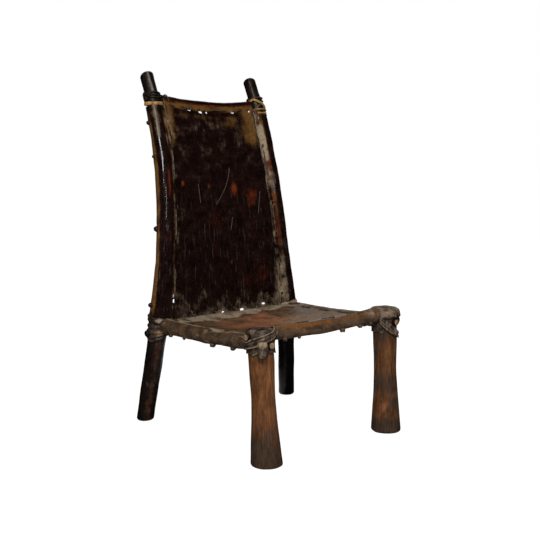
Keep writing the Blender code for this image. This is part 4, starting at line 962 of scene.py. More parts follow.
    def open_slits(self, sheet, grid, strips, start, sizes):
        last = start + self.columns
        panel_top = [vert for row in grid[-14:-1] for vert in row[start:last]]
        flap_top = [vert for strip in strips for vert in strip[-6:-1]]
        for across, long in TOP_GAPS.items():
            _, neck, down, front = top_neck(across)
            punch(sheet, panel_top, neck + down * 0.0095, Vector((1, 0, -0.25)).normalized(), front, (long, 0.0068, 0.0008))
            for row in (0.0085, 0.0125):
                punch(sheet, flap_top, neck + down * row, Vector((1, 0, 0)), front, (long * 1.4, 0.009, 0.0))
        for side in SIDE_NAMES:
            first = start if side == LEFT else last - 9
            panel = [vert for row in grid for vert in row[first:first + 9]]
            flap = [vert for row in grid for vert in (row[:5] if side == LEFT else row[-5:])]
            for z in span(0.30, 0.765, 7):
                neck, inward, front = back_neck(side, z + 0.006 * math.sin(z * 97))
                punch(sheet, panel, neck + inward * SIDE_STITCH[side], UP, front, (sizes.slit, 0.0042, 0.0))
                if side == RIGHT:
                    punch(sheet, flap, neck + inward * SIDE_STITCH[side], UP, front, (sizes.slit * 1.2, 0.005, 0.002))
        low = [vert for row in grid[1:9] for vert in row[start + 3:last - 3]]
        wide = back_panel(1, 0).x - back_panel(0, 0).x
        for x in LOW_GAPS:
            punch(sheet, low, back_panel((x - back_panel(0, 0).x) / wide, 0.0) + UP * (0.2634 - back_panel(0.5, 0.0).z), Vector((1, 0, 0)), Vector((0, -1, 0)), (0.008 if x < 0 else 0.0135, 0.0052, 0.0012))
        bmesh.ops.delete(sheet[0], geom=[row[i] for row in grid[11:16] for i in (1, 2, start + 1)], context="VERTS")


class LOWCHAIR_OT_seat(bpy.types.Operator):
    """Build the seat hide, folded round the front and side rails"""

    bl_idname = "low_chair.seat"
    bl_label = "Seat Hide"

    count = 91

    def execute(self, context):
        sizes, tints = context.scene.low_chair_sizes, context.scene.low_chair_colours
        finish = rawhide_material("rubbed_rawhide", tints.seat_hide, (tints.dust, tints.amber, tints.red), 0.42, 0.2, 0.45, 0.03)
        sheet = new_sheet()
        shares = span(0.0, 1.0, self.count)
        grid = [add_row(sheet, [self.panel(across, back, sizes) for across in shares]) for back in shares]
        skin(sheet, grid)
        for side in SIDE_NAMES:
            edge = 0 if side == LEFT else -1
            kept = [i for i, back in enumerate(shares) if SEAT_CORNER / SEAT_DEPTH < back < 1 - 0.004 / SEAT_DEPTH]
            strips = [[grid[i][edge]] + add_row(sheet, self.side_strip(side, shares[i], grid[i][edge].co.copy(), sizes)) for i in kept]
            skin(sheet, strips)
        kept = [i for i, across in enumerate(shares) if SEAT_CORNER / SEAT_WIDTH < across < 1 - SEAT_CORNER / SEAT_WIDTH]
        strips = [[grid[0][i]] + add_row(sheet, self.front_strip(shares[i], grid[0][i].co.copy(), sizes)) for i in kept]
        skin(sheet, strips)
        piece = finish_sheet("hide_seat", sheet, sizes.hide, finish)
        hand_over(piece, "brown_rawhide", "seat_hide")
        return {"FINISHED"}

    def panel(self, across, back, sizes):
        point = seat_panel(across, back)
        inset = min(across, 1 - across) * SEAT_WIDTH
        depth = back * SEAT_DEPTH
        behind = (1 - back) * SEAT_DEPTH
        free = ease(inset, 0.004, 0.05) * ease(depth, 0.004, 0.05)
        point.z += sizes.slack * free * (wobble(point, 0.08, 11) + 0.6 * wobble(point, 0.035, 12))
        point.z += 0.0009 * bell(behind, 0.0, 0.035) * ease(inset, 0.01, 0.04) * math.cos(2 * math.pi * (point.x - LACE_SHIFT) / LACE_PITCH)
        point.z += (0.0012 * wobble(point, 0.02, 13) - 0.0018 - 0.0042 * max(bell(point.x, gap, 0.009) for gap in LOW_GAPS)) * ease(behind, 0.012, 0.002)
        point.y += 0.0012 * ease(behind, 0.012, 0.0) * wobble(point, 0.022, 13)
        for side in SIDE_NAMES:
            away = (Vector((point.x, point.y, 0)) - front_axis(side, FRONT_LEG_HEIGHT).xy.to_3d()).length
            dome = FRONT_LEG_HEIGHT + 0.0015 - 0.006 * (away / 0.03) ** 3
            if away < 0.06:
                point.z = 0.004 * math.log(math.exp(point.z / 0.004) + math.exp(dome / 0.004))
        tongue = 0.031 + 0.018 * ease(across, 0.62, 0.2) + 0.014 * abs(math.cos(math.pi * (point.x - LACE_SHIFT) / LACE_PITCH)) * (1 + wobble(point, 0.05, 81)) + 0.010 * wobble(point, 0.014, 82)
        dust = (0.98 + 0.9 * wobble((point.x, 0.6 * point.y, 0), 0.024, 94)) * ease(behind, tongue + 0.014, tongue - 0.010) + 0.3 * bell(behind, tongue, 0.004) + 0.25 * wobble(point, 0.02, 92) * ease(behind, 0.06, 0.03)
        dust = max(dust, 0.4 * ease(inset, 0.03, 0.006))
        # A painted sheen on the right of the seat, in the dust colour
        dust_and_sheen = 0.62 * bell(across, 0.82, 0.3) * bell(back, 0.4, 0.35)
        rust = 0.8 * bell(across, 0.48, 0.42) * bell(back, 0.52, 0.4) + 0.3 * wobble((point.x * 0.4, point.y, 0), 0.03, 93)
        return point, (point.x, point.y, 0.0), (max(dust, dust_and_sheen), 0.3 * ease(depth, 0.03, 0.0), rust)

    def line(self, neck, inner, rail, sizes, seed):
        center = rail_center(rail, share_on(rail, neck))
        gathers = 0.0006 * wobble(center, 0.014, seed) + 0.0011 * wobble(center, 0.06, seed + 1)
        radius = (rail.body + 0.002) * 1.04 + 0.0012 + gathers
        wide = sizes.flap * (1 + 0.3 * wobble(center, 0.03, seed + 2))
        share = share_on(rail, neck)
        drape = (lambda angle, z: 0.0026 * (1 - self.bare(share, angle))) if rail is FRONT_RAIL else None
        return sleeve_line(neck, inner, center, radius, -UP, wide, 0.0008, drape)

    def bare(self, share, angle):
        """0 under the corner hides that lap over the ends of the front sleeve on a slant, 1 between them."""
        return ease(share, 0.015 + angle / 2800, 0.027 + angle / 2800) * ease(share, 0.735 + angle / 1400, 0.723 + angle / 1400)

    def side_strip(self, side, back, edge, sizes):
        inner = seat_panel(0.05 if side == LEFT else 0.95, back)
        line = eased_line([edge] + self.line(edge, inner, SIDE_RAILS[side], sizes, 20 + side), 2)[1:]
        strip = []
        for index, place in enumerate(line):
            around = (index + 1) / len(line)
            drawn = (place.x, place.y * 0.35, place.z)
            # The pale line along the top is dust and a painted highlight; less dust low down is painted shade on the
            # underside
            dust = 0.95 * bell(around, 0.085, 0.03) + 1.1 * wobble(drawn, 0.008, 88) + 0.18 - 0.42 * ease(around, 0.16, 0.36)
            strip.append((place, (0.4 + 0.1 * around + side, place.y, 0.0), (dust, 0.3 * wobble(place, 0.05, 89) + 0.1, (0.45 + 0.8 * wobble(place, 0.03, 99)) * bell(around, 0.135, 0.02))))
        return strip

    def front_strip(self, across, edge, sizes):
        line = eased_line([edge] + self.line(edge, seat_panel(across, 0.06), FRONT_RAIL, sizes, 30), 2)[1:]
        strip = []
        for index, place in enumerate(line):
            around = (index + 1) / len(line)
            free = self.bare(share_on(FRONT_RAIL, edge), 30 + 330 * around)
            amber = (0.72 + 0.6 * wobble((place.x * 0.3, place.y, place.z), 0.009, 90) + 0.4 * wobble(place, 0.05, 97)) * bell(around, 0.21, 0.10) * free
            # Less dust on the lower half of the sleeve is painted shade on its underside
            dust = 0.3 * (1 - free) + 0.45 * bell(around, 0.06, 0.03) + 0.5 * free * (1 - free) + 0.5 * wobble(place, 0.012, 94) - 0.1 - 0.3 * ease(around, 0.28, 0.42)
            strip.append((place, (0.4 + 0.1 * around, place.x, 0.0), (dust, amber, 0.2)))
        return strip


class LOWCHAIR_OT_corners(bpy.types.Operator):
    """Build the caps, straps and roll of the front corners and the cuffs of the rear ones"""

    bl_idname = "low_chair.corners"
    bl_label = "Corner Hides"

    def execute(self, context):
        tints = context.scene.low_chair_colours
        finish = rawhide_material("creased_rawhide", tints.corner_hide, (tints.dust, tints.ochre, tints.red), 0.36, 0.3, 0.6, 0.016)
        for side, label in SIDE_NAMES.items():
            cap = self.shell("corner_cap_" + label, self.cap_rows(side), finish)
            hand_over(cap, "grey_brown_rawhide", "front_corner_cap_" + label)
            cuff = self.shell("corner_cuff_" + label, self.cuff_rows(side), finish)
            hand_over(cuff, "grey_brown_rawhide", "rear_corner_cuff_" + label)
            strap = self.band("corner_strap_" + label, self.strap_rows(side), finish)
            hand_over(strap, "grey_brown_rawhide", "front_corner_strap_" + label)
        roll = self.band("corner_roll_left", self.roll_rows(), finish)
        hand_over(roll, "grey_brown_rawhide", "front_corner_roll_left")
        return {"FINISHED"}

    def shell(self, name, rows, finish):
        """A skin of hide round a head or a post, closed round its rows, with its thickness."""
        sheet = new_sheet()
        grid = [add_row(sheet, row) for row in rows]
        skin(sheet, [row + row[:1] for row in grid])
        return finish_sheet(name, sheet, COVER, finish)

    def band(self, name, rows, finish):
        sheet = new_sheet()
        skin(sheet, [add_row(sheet, row) for row in rows])
        return finish_sheet(name, sheet, COVER, finish)

    def cap_rows(self, side):
        """From the ragged skirt up the head's side, out to the lip of the drape, over the edge and in."""
        drape = 0.0045 if side == RIGHT else 0.0012
        rises = [(share, None) for share in span(0.0, 1.0, 20)]
        rises += [(0.2808, 0.2 * drape), (0.2800, 0.7 * drape), (0.2802, drape), (0.2812, 1.1 * drape), (0.2832, 1.05 * drape)]
        rises += [(rise, drape * ease(rise, 0.325, 0.28)) for rise in span(0.2855, 0.3155, 18)]
        rows = []
        for rise, extra in rises:
            row = []
            for index in range(96):
                turn = 360 * index / 96 - 180
                low = self.skirt(side, turn)
                lower = extra is None
                high = low + (0.2805 - low) * rise if lower else rise
                out = Vector((math.cos(math.radians(turn)), math.sin(math.radians(turn)), 0))
                sway = 0.0022 * wobble(out, 0.35, 42 + side) * bell(high, 0.281, 0.006) if side == RIGHT else 0.0
                spot = over_head(side, turn, high + sway, 0.0)
                crease = 0.0012 * wobble((spot.x, spot.y, spot.z * 0.35), 0.011, 40 + side) + 0.0011 * wobble(spot, 0.026, 41) + 0.0006 * wobble(spot, 0.006, 45)
                off = 0.0003 + COVER / 2 + max(0.0, 0.0009 + 1.4 * crease * ease(high, 0.318, 0.30)) + (0.0 if lower else extra)
                row.append((over_head(side, turn, high + sway, off), (math.radians(turn) * 0.03, high, side), self.cap_stain(side, turn, high, low, crease)))
            rows.append(row)
        return rows

    def skirt(self, side, turn):
        """Height of the ragged lower edge."""
        ragged = 0.0035 * wobble((math.cos(math.radians(turn)), math.sin(math.radians(turn)), side), 0.22, 46)
        if side == LEFT:
            return 0.2485 + ragged + 0.004 * ease(turn, -30, -70) * ease(turn, -170, -110)
        return 0.2445 + ragged + 0.0165 * ease(turn, 15, -15) * ease(turn, -150, -120)

    def cap_stain(self, side, turn, high, low, crease):
        """Dust along the skirt; on the creases the ridges are lighter and the folds darker, dust on the ridges and
        painted shade in the folds.
        """
        # Lighter ridges and darker folds: dust, and painted shade in the folds
        dust = 0.12 + 220 * crease + 0.3 * ease(high, low + 0.003, low)
        if side == LEFT:
            return dust + 0.5 * bell(high, 0.300, 0.005) * ease(turn, -60, -110), 0.2, 0.1
        return dust + 0.42 * ease(high, 0.279, 0.286), 0.2, 0.5 * bell(high, 0.292, 0.006)

    def cuff_rows(self, side):
        """A twist of hide round the post, folded on itself; the near one is dark but for its inner folds."""
        rows = []
        for share in span(0.0, 1.0, 34):
            z = CUFF_LOW + (CUFF_HIGH + 0.004 - CUFF_LOW) * share
            row = []
            for index in range(72):
                angle = 2 * math.pi * index / 72
                center, inward, front = post_frame(side, z)
                out = inward * math.cos(angle) + front * math.sin(angle)
                spot = center + out * post_radius(z)
                turn = seen_turn(spot, center)
                lean = 2.2 * math.radians(turn) if side == LEFT else 0.4 * math.radians(turn)
                fold = 0.0014 * math.sin(2 * math.pi * z / 0.013 - lean + 1.5 * wobble(spot, 0.03, 53)) + 0.0012 * wobble(spot, 0.012, 51)
                ends = ease(min(share, 1 - share), 0.0, 0.12)
                off = 0.0003 + COVER / 2 + max(0.0, 0.0012 + fold) + (0.0035 * ease(share, 0.72, 0.86) if side == LEFT else 0.0024 * ease(share, 0.5, 0.9)) * (0.4 + 0.6 * ends)
                place = spot + out * off
                ragged = 0.005 * wobble(out, 0.5, 52 + side)
                low = 0.012 * ease(turn, -20, 60) if side == LEFT else 0.010
                place.z += (1 - ease(share, 0.0, 0.5)) * (low + ragged) + 0.6 * ragged * ease(share, 0.8, 1.0)
                pale = bell(turn, 20, 34) * bell(share, 0.42, 0.17) if side == LEFT else 0.5
                # Dust follows the folds, lighter on their ridges and darker in their hollows: dust, and painted shade
                # in the hollows
                dust = 300 * fold * (0.2 + pale) + 0.7 * pale - (0.2 if side == LEFT else 0.0) + 1.5 * bell(share, 0.90, 0.07) * ease(turn, -40, 10)
                row.append((place, (angle * 0.024, z, side + 3), (dust, 1.3 * pale, 0.1)))
            rows.append(row)
        return rows

    def strap_rows(self, side):
        """A strap that climbs round the near corner, or hangs from under the drape of the far one."""
        start, end, low, high, width = (-68, 96, 0.265, 0.302, 0.021) if side == LEFT else (-26, 56, 0.274, 0.2375, 0.021)
        rows = []
        for share in span(0.0, 1.0, 70):
            turn = start + (end - start) * share + 231 - 360
            middle = low + (high - low) * share
            wide = width * (0.9 + 0.12 * wobble((share, side, 0), 0.18, 60)) * (0.8 + 0.2 * math.sin(math.pi * share))
            row = []
            for part in span(-0.5, 0.5, 15):
                rise = middle + part * wide
                wave = 0.0006 * math.cos(4 * math.pi * part + 3 * share) + 0.0009 * wobble((share * 5, part * 2, side), 0.6, 61)
                off = 0.0003 + COVER * 2 + 0.0012 + wave + 0.0022 * ease(abs(part), 0.34, 0.5) + 0.003 * ease(rise, 0.29, 0.30) * (side == LEFT)
                # Dust follows the waves, lighter on their crests and darker in their hollows: dust, and painted shade
                # in the hollows
                edge = (0.7 if side == LEFT else 0.15) * ease(abs(part), 0.38, 0.5) * (0.8 + 0.9 * wobble((share * 6, part, 0), 0.5, 63)) + (0.45 * bell(part, 0.10, 0.05) if side == LEFT else 0.2) + 90 * wave
                row.append((over_head(side, turn, rise, off), (share * 0.09, part * wide, side + 6), (0.12 + edge + 0.25 * wobble((share * 4, part, 0), 0.3, 62), 0.1, 0.1)))
            rows.append(row)
        return rows

    def roll_rows(self):
        """The strap's end, rolled up on itself below the corner."""
        turn_to = math.radians(236)
        ahead = Vector((math.cos(turn_to), math.sin(turn_to), 0))
        axis = (ahead * 0.30 - UP * 0.95).normalized()
        level = Vector((-ahead.y, ahead.x, 0))
        face = level.cross(axis)
        middle = front_axis(LEFT, 0.2600) + ahead * (head_radius(LEFT) + 0.0095)
        rows = []
        for turn in span(0.0, 2.1, 120):
            swing = 2 * math.pi * turn + 0.9
            spoke = level * math.cos(swing) + face * math.sin(swing) * 0.85
            row = []
            for part in span(-0.5, 0.5, 21):
                radius = (0.0022 + 0.0046 * turn) * (1 - 0.5 * ease(part, 0.2, 0.5) ** 2 - 0.1 * ease(part, -0.2, -0.5))
                pleat = math.cos(5 * swing + 7 * part) * ease(part, 0.2, -0.4)
                place = middle + axis * part * (0.035 + 0.004 * wobble((turn, 0, 0), 0.3, 70)) + spoke * (radius * (1 + 0.12 * pleat) + 0.0008 * wobble((turn * 4, part * 3, 0), 0.5, 71))
                # Dust follows the pleats, lighter where they stand out and darker where they sink: dust, and painted
                # shade where they sink
                dust = 0.1 + 0.3 * pleat + 0.75 * ease(part, -0.1, -0.4) + 0.25 * wobble((turn * 3, part * 2, 0), 0.4, 72)
                row.append((place, (turn * 0.05, part * 0.03, 9.0), (dust, 0.5 * ease(part, 0.15, -0.2), 0.1)))
            rows.append(row)
        return rows


def thong_tree(name, finish):
    """A flat thong swept along a curve, a little uneven."""
    tree = bpy.data.node_groups.new(name, "GeometryNodeTree")
    tree.interface.new_socket("Geometry", in_out="INPUT", socket_type="NodeSocketGeometry")
    for label in ("Width", "Thickness", "Unevenness"):
        tree.interface.new_socket(label, in_out="INPUT", socket_type="NodeSocketFloat")
    tree.interface.new_socket("Geometry", in_out="OUTPUT", socket_type="NodeSocketGeometry")
    given = add_node(tree, "NodeGroupInput").outputs
    line = add_node(tree, "GeometryNodeResampleCurve", {"Curve": given["Geometry"], "Length": 0.0025}, mode="LENGTH")
    rough = add_node(tree, "ShaderNodeTexNoise", {"Scale": 1 / 0.012, "Detail": 2.0})
    centred = add_node(tree, "ShaderNodeVectorMath", {0: rough.outputs["Color"], 1: (0.5, 0.5, 0.5)}, operation="SUBTRACT")
    shift = add_node(tree, "ShaderNodeVectorMath", {0: centred.outputs[0], "Scale": given["Unevenness"]}, operation="SCALE")
    bent = add_node(tree, "GeometryNodeSetPosition", {"Geometry": line.outputs[0], "Offset": shift.outputs[0]})
    circle = add_node(tree, "GeometryNodeCurvePrimitiveCircle", {"Resolution": 10, "Radius": 0.5})
    size = add_node(tree, "ShaderNodeCombineXYZ", {0: given["Width"], 1: given["Thickness"], 2: 1.0})
    profile = add_node(tree, "GeometryNodeTransform", {"Geometry": circle.outputs[0], "Scale": size.outputs[0]})
    swept = add_node(tree, "GeometryNodeCurveToMesh", {"Curve": bent.outputs[0], "Profile Curve": profile.outputs[0], "Fill Caps": True})
    real = add_node(tree, "GeometryNodeRealizeInstances", {"Geometry": swept.outputs[0]})
    done = add_node(tree, "GeometryNodeSetMaterial", {"Geometry": real.outputs[0], "Material": finish})
    add_node(tree, "NodeGroupOutput", {0: done.outputs[0]})
    return tree


def knot_tree(finish):
    """A small coil of thong on every point, turned by the point's own facing."""
    tree = bpy.data.node_groups.new("knots", "GeometryNodeTree")
    tree.interface.new_socket("Geometry", in_out="INPUT", socket_type="NodeSocketGeometry")
    for label in ("Size", "Strand"):
        tree.interface.new_socket(label, in_out="INPUT", socket_type="NodeSocketFloat")
    tree.interface.new_socket("Geometry", in_out="OUTPUT", socket_type="NodeSocketGeometry")
    given = add_node(tree, "NodeGroupInput").outputs
    tight = add_node(tree, "ShaderNodeMath", {0: given["Size"], 1: 0.45}, operation="MULTIPLY")
    coil = add_node(tree, "GeometryNodeCurveSpiral", {"Resolution": 20, "Rotations": 1.6, "Start Radius": given["Size"], "End Radius": tight.outputs[0], "Height": given["Size"]})
    circle = add_node(tree, "GeometryNodeCurvePrimitiveCircle", {"Resolution": 8, "Radius": given["Strand"]})
    swept = add_node(tree, "GeometryNodeCurveToMesh", {"Curve": coil.outputs[0], "Profile Curve": circle.outputs[0], "Fill Caps": True})
    facing = add_node(tree, "GeometryNodeInputNamedAttribute", {"Name": "facing"}, data_type="FLOAT_VECTOR")
    turned = add_node(tree, "FunctionNodeAlignRotationToVector", {"Vector": facing.outputs[0]}, axis="Z")
    spin = add_node(tree, "FunctionNodeRandomValue", {2: 0.0, 3: 6.283, "Seed": 5}, data_type="FLOAT")
    euler = add_node(tree, "ShaderNodeCombineXYZ", {2: spin.outputs[1]})
    placed = add_node(tree, "FunctionNodeRotateRotation", {0: turned.outputs[0], 1: euler.outputs[0]}, rotation_space="LOCAL")
    scale = add_node(tree, "FunctionNodeRandomValue", {2: 0.7, 3: 1.25, "Seed": 9}, data_type="FLOAT")
    spread = add_node(tree, "GeometryNodeInstanceOnPoints", {"Points": given["Geometry"], "Instance": swept.outputs[0], "Rotation": placed.outputs[0], "Scale": scale.outputs[1]})
    real = add_node(tree, "GeometryNodeRealizeInstances", {"Geometry": spread.outputs[0]})
    done = add_node(tree, "GeometryNodeSetMaterial", {"Geometry": real.outputs[0], "Material": finish})
    add_node(tree, "NodeGroupOutput", {0: done.outputs[0]})
    return tree


def merge(name, items):
    """Joins plain mesh objects into one that keeps their materials."""
    work = bmesh.new()
    data = bpy.data.meshes.new(name)
    for item in items:
        known = set(work.faces)
        work.from_mesh(item.data)
        for face in set(work.faces) - known:
            face.material_index += len(data.materials)
        for material in item.data.materials:
            data.materials.append(material)
        bpy.data.objects.remove(item, do_unlink=True)
    work.to_mesh(data)
    work.free()
    return make_object(name, data)


def grow(item, tree, values, name):
    """Runs a node tree on an object with its inputs set, and returns the plain mesh object."""
    named = {socket.name: socket.identifier for socket in tree.interface.items_tree if socket.in_out == "INPUT"}
    nodes = item.modifiers.new(tree.name, "NODES")
    nodes.node_group = tree
    for label, value in values.items():
        nodes[named[label]] = value
    return settle(item, name)


def thong_curve(name, points):
    data = bpy.data.curves.new(name, "CURVE")
    data.dimensions = "3D"
    spline = data.splines.new("POLY")
    spline.points.add(len(points) - 1)
    for knot, point in zip(spline.points, points):
        knot.co = (*point, 1.0)
    return make_object(name + "_curve", data)


def thread(points, steps):
    """A smooth line through points, as a chain of short straight steps."""
    line = []
    ends = [points[0] * 2 - points[1]] + points + [points[-1] * 2 - points[-2]]
    for a, b, c, d in zip(ends, ends[1:], ends[2:], ends[3:]):
        for share in span(0.0, 1.0, steps + 1)[:-1]:
            s2, s3 = share * share, share * share * share
            line.append((b * 2 + (c - a) * share + (a * 2 - b * 5 + c * 4 - d) * s2 + (b * 3 - a - c * 3 + d) * s3) / 2)
    return line + [points[-1]]


class LOWCHAIR_OT_thongs(bpy.types.Operator):
    """Sew the sleeves, lace the rear edge and lash the top joints"""

    bl_idname = "low_chair.thongs"
    bl_label = "Thongs"

    def execute(self, context):
        sizes, tints = context.scene.low_chair_sizes, context.scene.low_chair_colours
        finish = thong_material("greasy_thong", tints.thong)
        pale = thong_material("pale_thong", tints.lashing)
        black = thong_material("blackened_thong", shade(tints.thong, 0.22))
        self.thong, self.knots, self.ties = thong_tree("thong", finish), knot_tree(black), knot_tree(finish)
        self.pale, self.black = thong_tree("pale_thong", pale), thong_tree("black_thong", black)
        self.sizes = sizes
        for side, label in SIDE_NAMES.items():
            seam = [self.sew("back_" + label, self.back_seam(side), span(0.06, 0.94, 7))]
            hand_over(merge("sewing_back_" + label, seam + self.post_knots(side)), "tan_thong", "back_thong_" + label)
            seam = [self.sew("seat_" + label, self.side_seam(side), span(0.06, 0.94, 8))] + self.tenon_loop(side)
            hand_over(merge("sewing_seat_" + label, seam + self.rail_knots(SIDE_RAILS[side], (0.17, 0.31, 0.60, 0.79))), "tan_thong", "seat_thong_" + label)
            hand_over(merge("lashing_" + label, self.joint(side)), "tan_thong", "top_lashing_" + label)
        hand_over(self.sew("sewing_top", self.top_seam(), (0.06, 0.13, 0.22, 0.34, 0.37, 0.52, 0.70, 0.84, 0.90, 0.97)), "tan_thong", "back_thong_top")
        seam = [self.sew("seat_front", self.front_seam(), span(0.06, 0.94, 7))]
        hand_over(merge("sewing_front", seam + self.rail_knots(FRONT_RAIL, (0.16, 0.27, 0.61, 0.76, 0.85))), "tan_thong", "seat_thong_front")
        hand_over(self.sweep("lacing_rear", self.lacing(), sizes.thong, sizes.thong * 0.7), "tan_thong", "rear_lacing")
        return {"FINISHED"}

    def sweep(self, name, points, width, thick, tree=None):
        item = thong_curve(name, thread(points, 5))
        return grow(item, tree or self.thong, {"Width": width, "Thickness": thick, "Unevenness": 0.0012}, name)

    def tie(self, name, places, tree):
        """Knots at places, each with the way that it faces."""
        data = bpy.data.meshes.new(name)
        data.from_pydata([place for place, _ in places], [], [])
        facing = data.attributes.new("facing", "FLOAT_VECTOR", "POINT")
        for item, (_, way) in zip(facing.data, places):
            item.vector = way
        return grow(make_object(name + "_places", data), tree, {"Size": self.sizes.knot, "Strand": self.sizes.knot * 0.6}, name)

    def post_knots(self, side):
        """Ends of thong that stand out along the outer side of the near post."""
        if side == RIGHT:
            return []
        places = []
        for z in (0.744, 0.661, 0.484, 0.297):
            center, inward, front = post_frame(side, z)
            out = (-front * 0.1 - inward).normalized()
            places.append((center + out * (post_radius(z) + 0.0058), out))
        return [self.tie("knots_post", places, self.knots)]

    def rail_knots(self, rail, shares):
        """Knots under a rail's sleeve; the shares run from the rear, or from the left."""
        places = []
        for share in shares:
            center = rail_center(rail, 1 - share if rail is not FRONT_RAIL else share)
            out = (-UP - level_inward(rail) * 0.6).normalized()
            places.append((center + out * (rail.body + 0.0052), out))
        return [self.tie("knots_rail", places, self.ties)]

    def tenon_loop(self, side):
        """The thong's black end, that loops out beside the far front tenon."""
        if side == LEFT:
            return []
        rail = SIDE_RAILS[side]
        way = (rail.end - rail.start).normalized()
        tip = rail.start - way * (rail.hold_start + rail.proud * 0.4) + UP * 0.004
        turns = [math.radians(angle) for angle in span(105, -100, 9)]
        line = [tip + way.cross(UP) * 0.0150 * math.cos(turn) + UP * 0.0125 * math.sin(turn) for turn in turns]
        return [self.sweep("tenon_loop", line, 0.0034, 0.0030, self.black)]

    def joint(self, side):
        """The wrapped joint of the top rail: a pale band below black turns, or crossed pale thongs."""
        low = JOINT_Z[side] - 0.0125
        if side == LEFT:
            wraps = [self.sweep("turns", self.wrap(side, base), 0.0066, 0.0042, self.black) for base in (-0.0025, 0.0032, 0.0088)]
            return [self.hoop("band", side, low, 0.0028, 0.0092, self.pale), *wraps, self.loop(side)]
        crossed = [self.sweep("turns", self.lashing(side, way), 0.0030, 0.0062, tree) for way, tree in ((1, self.thong), (-1, self.pale))]
        return crossed + [self.hoop("band", side, low - 0.0063, 0.0026, 0.0046, self.pale), self.hoop("dark_band", side, low - 0.0121, 0.0024, 0.0036, self.black)]

    def wrap(self, side, base):
        """A turn round the post that hangs low in front and clears the rail and its tenon at the sides."""
        points = []
        for turn in span(0.0, 1.0, 33):
            clear = max(bell(turn, 0.0, 0.09), bell(turn, 1.0, 0.09), 0.85 * bell(turn, 0.5, 0.09))
            lift = base + (0.0125 + 0.3 * base - base) * clear + 0.0008 * math.sin(19 * turn + 300 * base)
            center, inward, front = post_frame(side, JOINT_Z[side] + lift)
            out = inward * math.cos(2 * math.pi * turn) + front * math.sin(2 * math.pi * turn)
            points.append(center + out * (post_radius(JOINT_Z[side]) + 0.0022))
        return points

    def hoop(self, name, side, z, width, thick, tree):
        """A thong once round the post, over the top of the sleeve."""
        points = []
        for turn in span(0.0, 1.0, 25):
            around = 2 * math.pi * turn
            _, inward, front = post_frame(side, z)
            out = inward * math.cos(around) + front * math.sin(around)
            level = Vector((out.x, out.y, 0)).normalized()
            slack = 0.0006 * math.sin(7 * turn) - 0.002 * bell(turn, 0.0, 0.12) - 0.002 * bell(turn, 1.0, 0.12)
            points.append(post_center(side, z) + level * (post_radius(z) + 0.0052) + UP * slack)
        return self.sweep(name, points, width, thick, tree)

    def loop(self, side):
        """A thong over the end of the rail's sleeve, close to the post."""
        center = rail_center(TOP_RAIL, 0.115 if side == LEFT else 0.885)
        front = post_frame(side, TOP_RAIL_Z)[2]
        points = []
        for turn in span(0.0, 1.0, 17):
            swing = 2 * math.pi * turn
            points.append(center + (front * math.cos(swing) + UP * math.sin(swing)) * (TOP_RAIL_RADIUS + 0.0045) - Vector((0.004 * math.sin(swing), 0, 0)))
        return self.sweep("loop", points, 0.0046, 0.0026, self.thong)

    def sew(self, name, seam, holes):
        """A running stitch through holes along a seam; seam(share) gives a place and the way through."""
        rise = 0.0048
        points, face = [], -1
        for index, share in enumerate(holes):
            for shift, height in ((-0.008, 1.0), (0.0, 0.3), (0.008, -1.0)):
                place, through = seam(min(1.0, max(0.0, share + shift)))
                points.append(place + through * face * rise * height)
            face = -face
            if index + 1 < len(holes):
                place, through = seam((share + holes[index + 1]) / 2)
                points.append(place + through * face * rise)
        place, through = seam(0.0)
        points.insert(0, place - through * rise)
        place, through = seam(1.0)
        points.append(place + through * face * rise)
        return self.sweep(name, points, self.sizes.thong, self.sizes.thong * 0.6)

    def back_seam(self, side):
        def seam(share):
            neck, inward, front = back_neck(side, BACK_BOTTOM + 0.0154 + 0.489 * share)
            return neck + inward * SIDE_STITCH[side], front
        return seam

    def top_seam(self):
        def seam(share):
            _, neck, down, front = top_neck(0.07 + 0.86 * share)
            return neck + down * STITCH_INSET, -front
        return seam

    def side_seam(self, side):
        def seam(share):
            back = (0.042 + (SEAT_DEPTH - 0.058) * share) / SEAT_DEPTH
            edge, inner = seat_panel(0.0 if side == LEFT else 1.0, back), seat_panel(0.04 if side == LEFT else 0.96, back)
            return edge + (inner - edge).normalized() * STITCH_INSET - UP * LAYER / 2, -UP
        return seam

    def front_seam(self):
        def seam(share):
            across = (0.042 + (SEAT_WIDTH - 0.084) * share) / SEAT_WIDTH
            edge, inner = seat_panel(across, 0.0), seat_panel(across, 0.04)
            return edge + (inner - edge).normalized() * STITCH_INSET - UP * LAYER / 2, -UP
        return seam

    def lashing(self, side, way):
        """Turns round the post that cross over the rail's joint."""
        turns = {LEFT: 2, RIGHT: 2}[side]
        points = []
        for index in range(24 * turns + 1):
            turn = index / 24
            climb = min(1.0, max(0.0, (turn - 0.12) / 0.30))
            lift = 0.0116 * (2 * climb - 1) + 0.0052 * max(0.0, turn - 0.42)
            center, inward, front = post_frame(side, JOINT_Z[side] + lift * way)
            out = inward * math.cos(2 * math.pi * turn) + front * math.sin(2 * math.pi * turn)
            points.append(center + out * (post_radius(JOINT_Z[side]) + (0.0028 if way == 1 else 0.0042)))
        return points

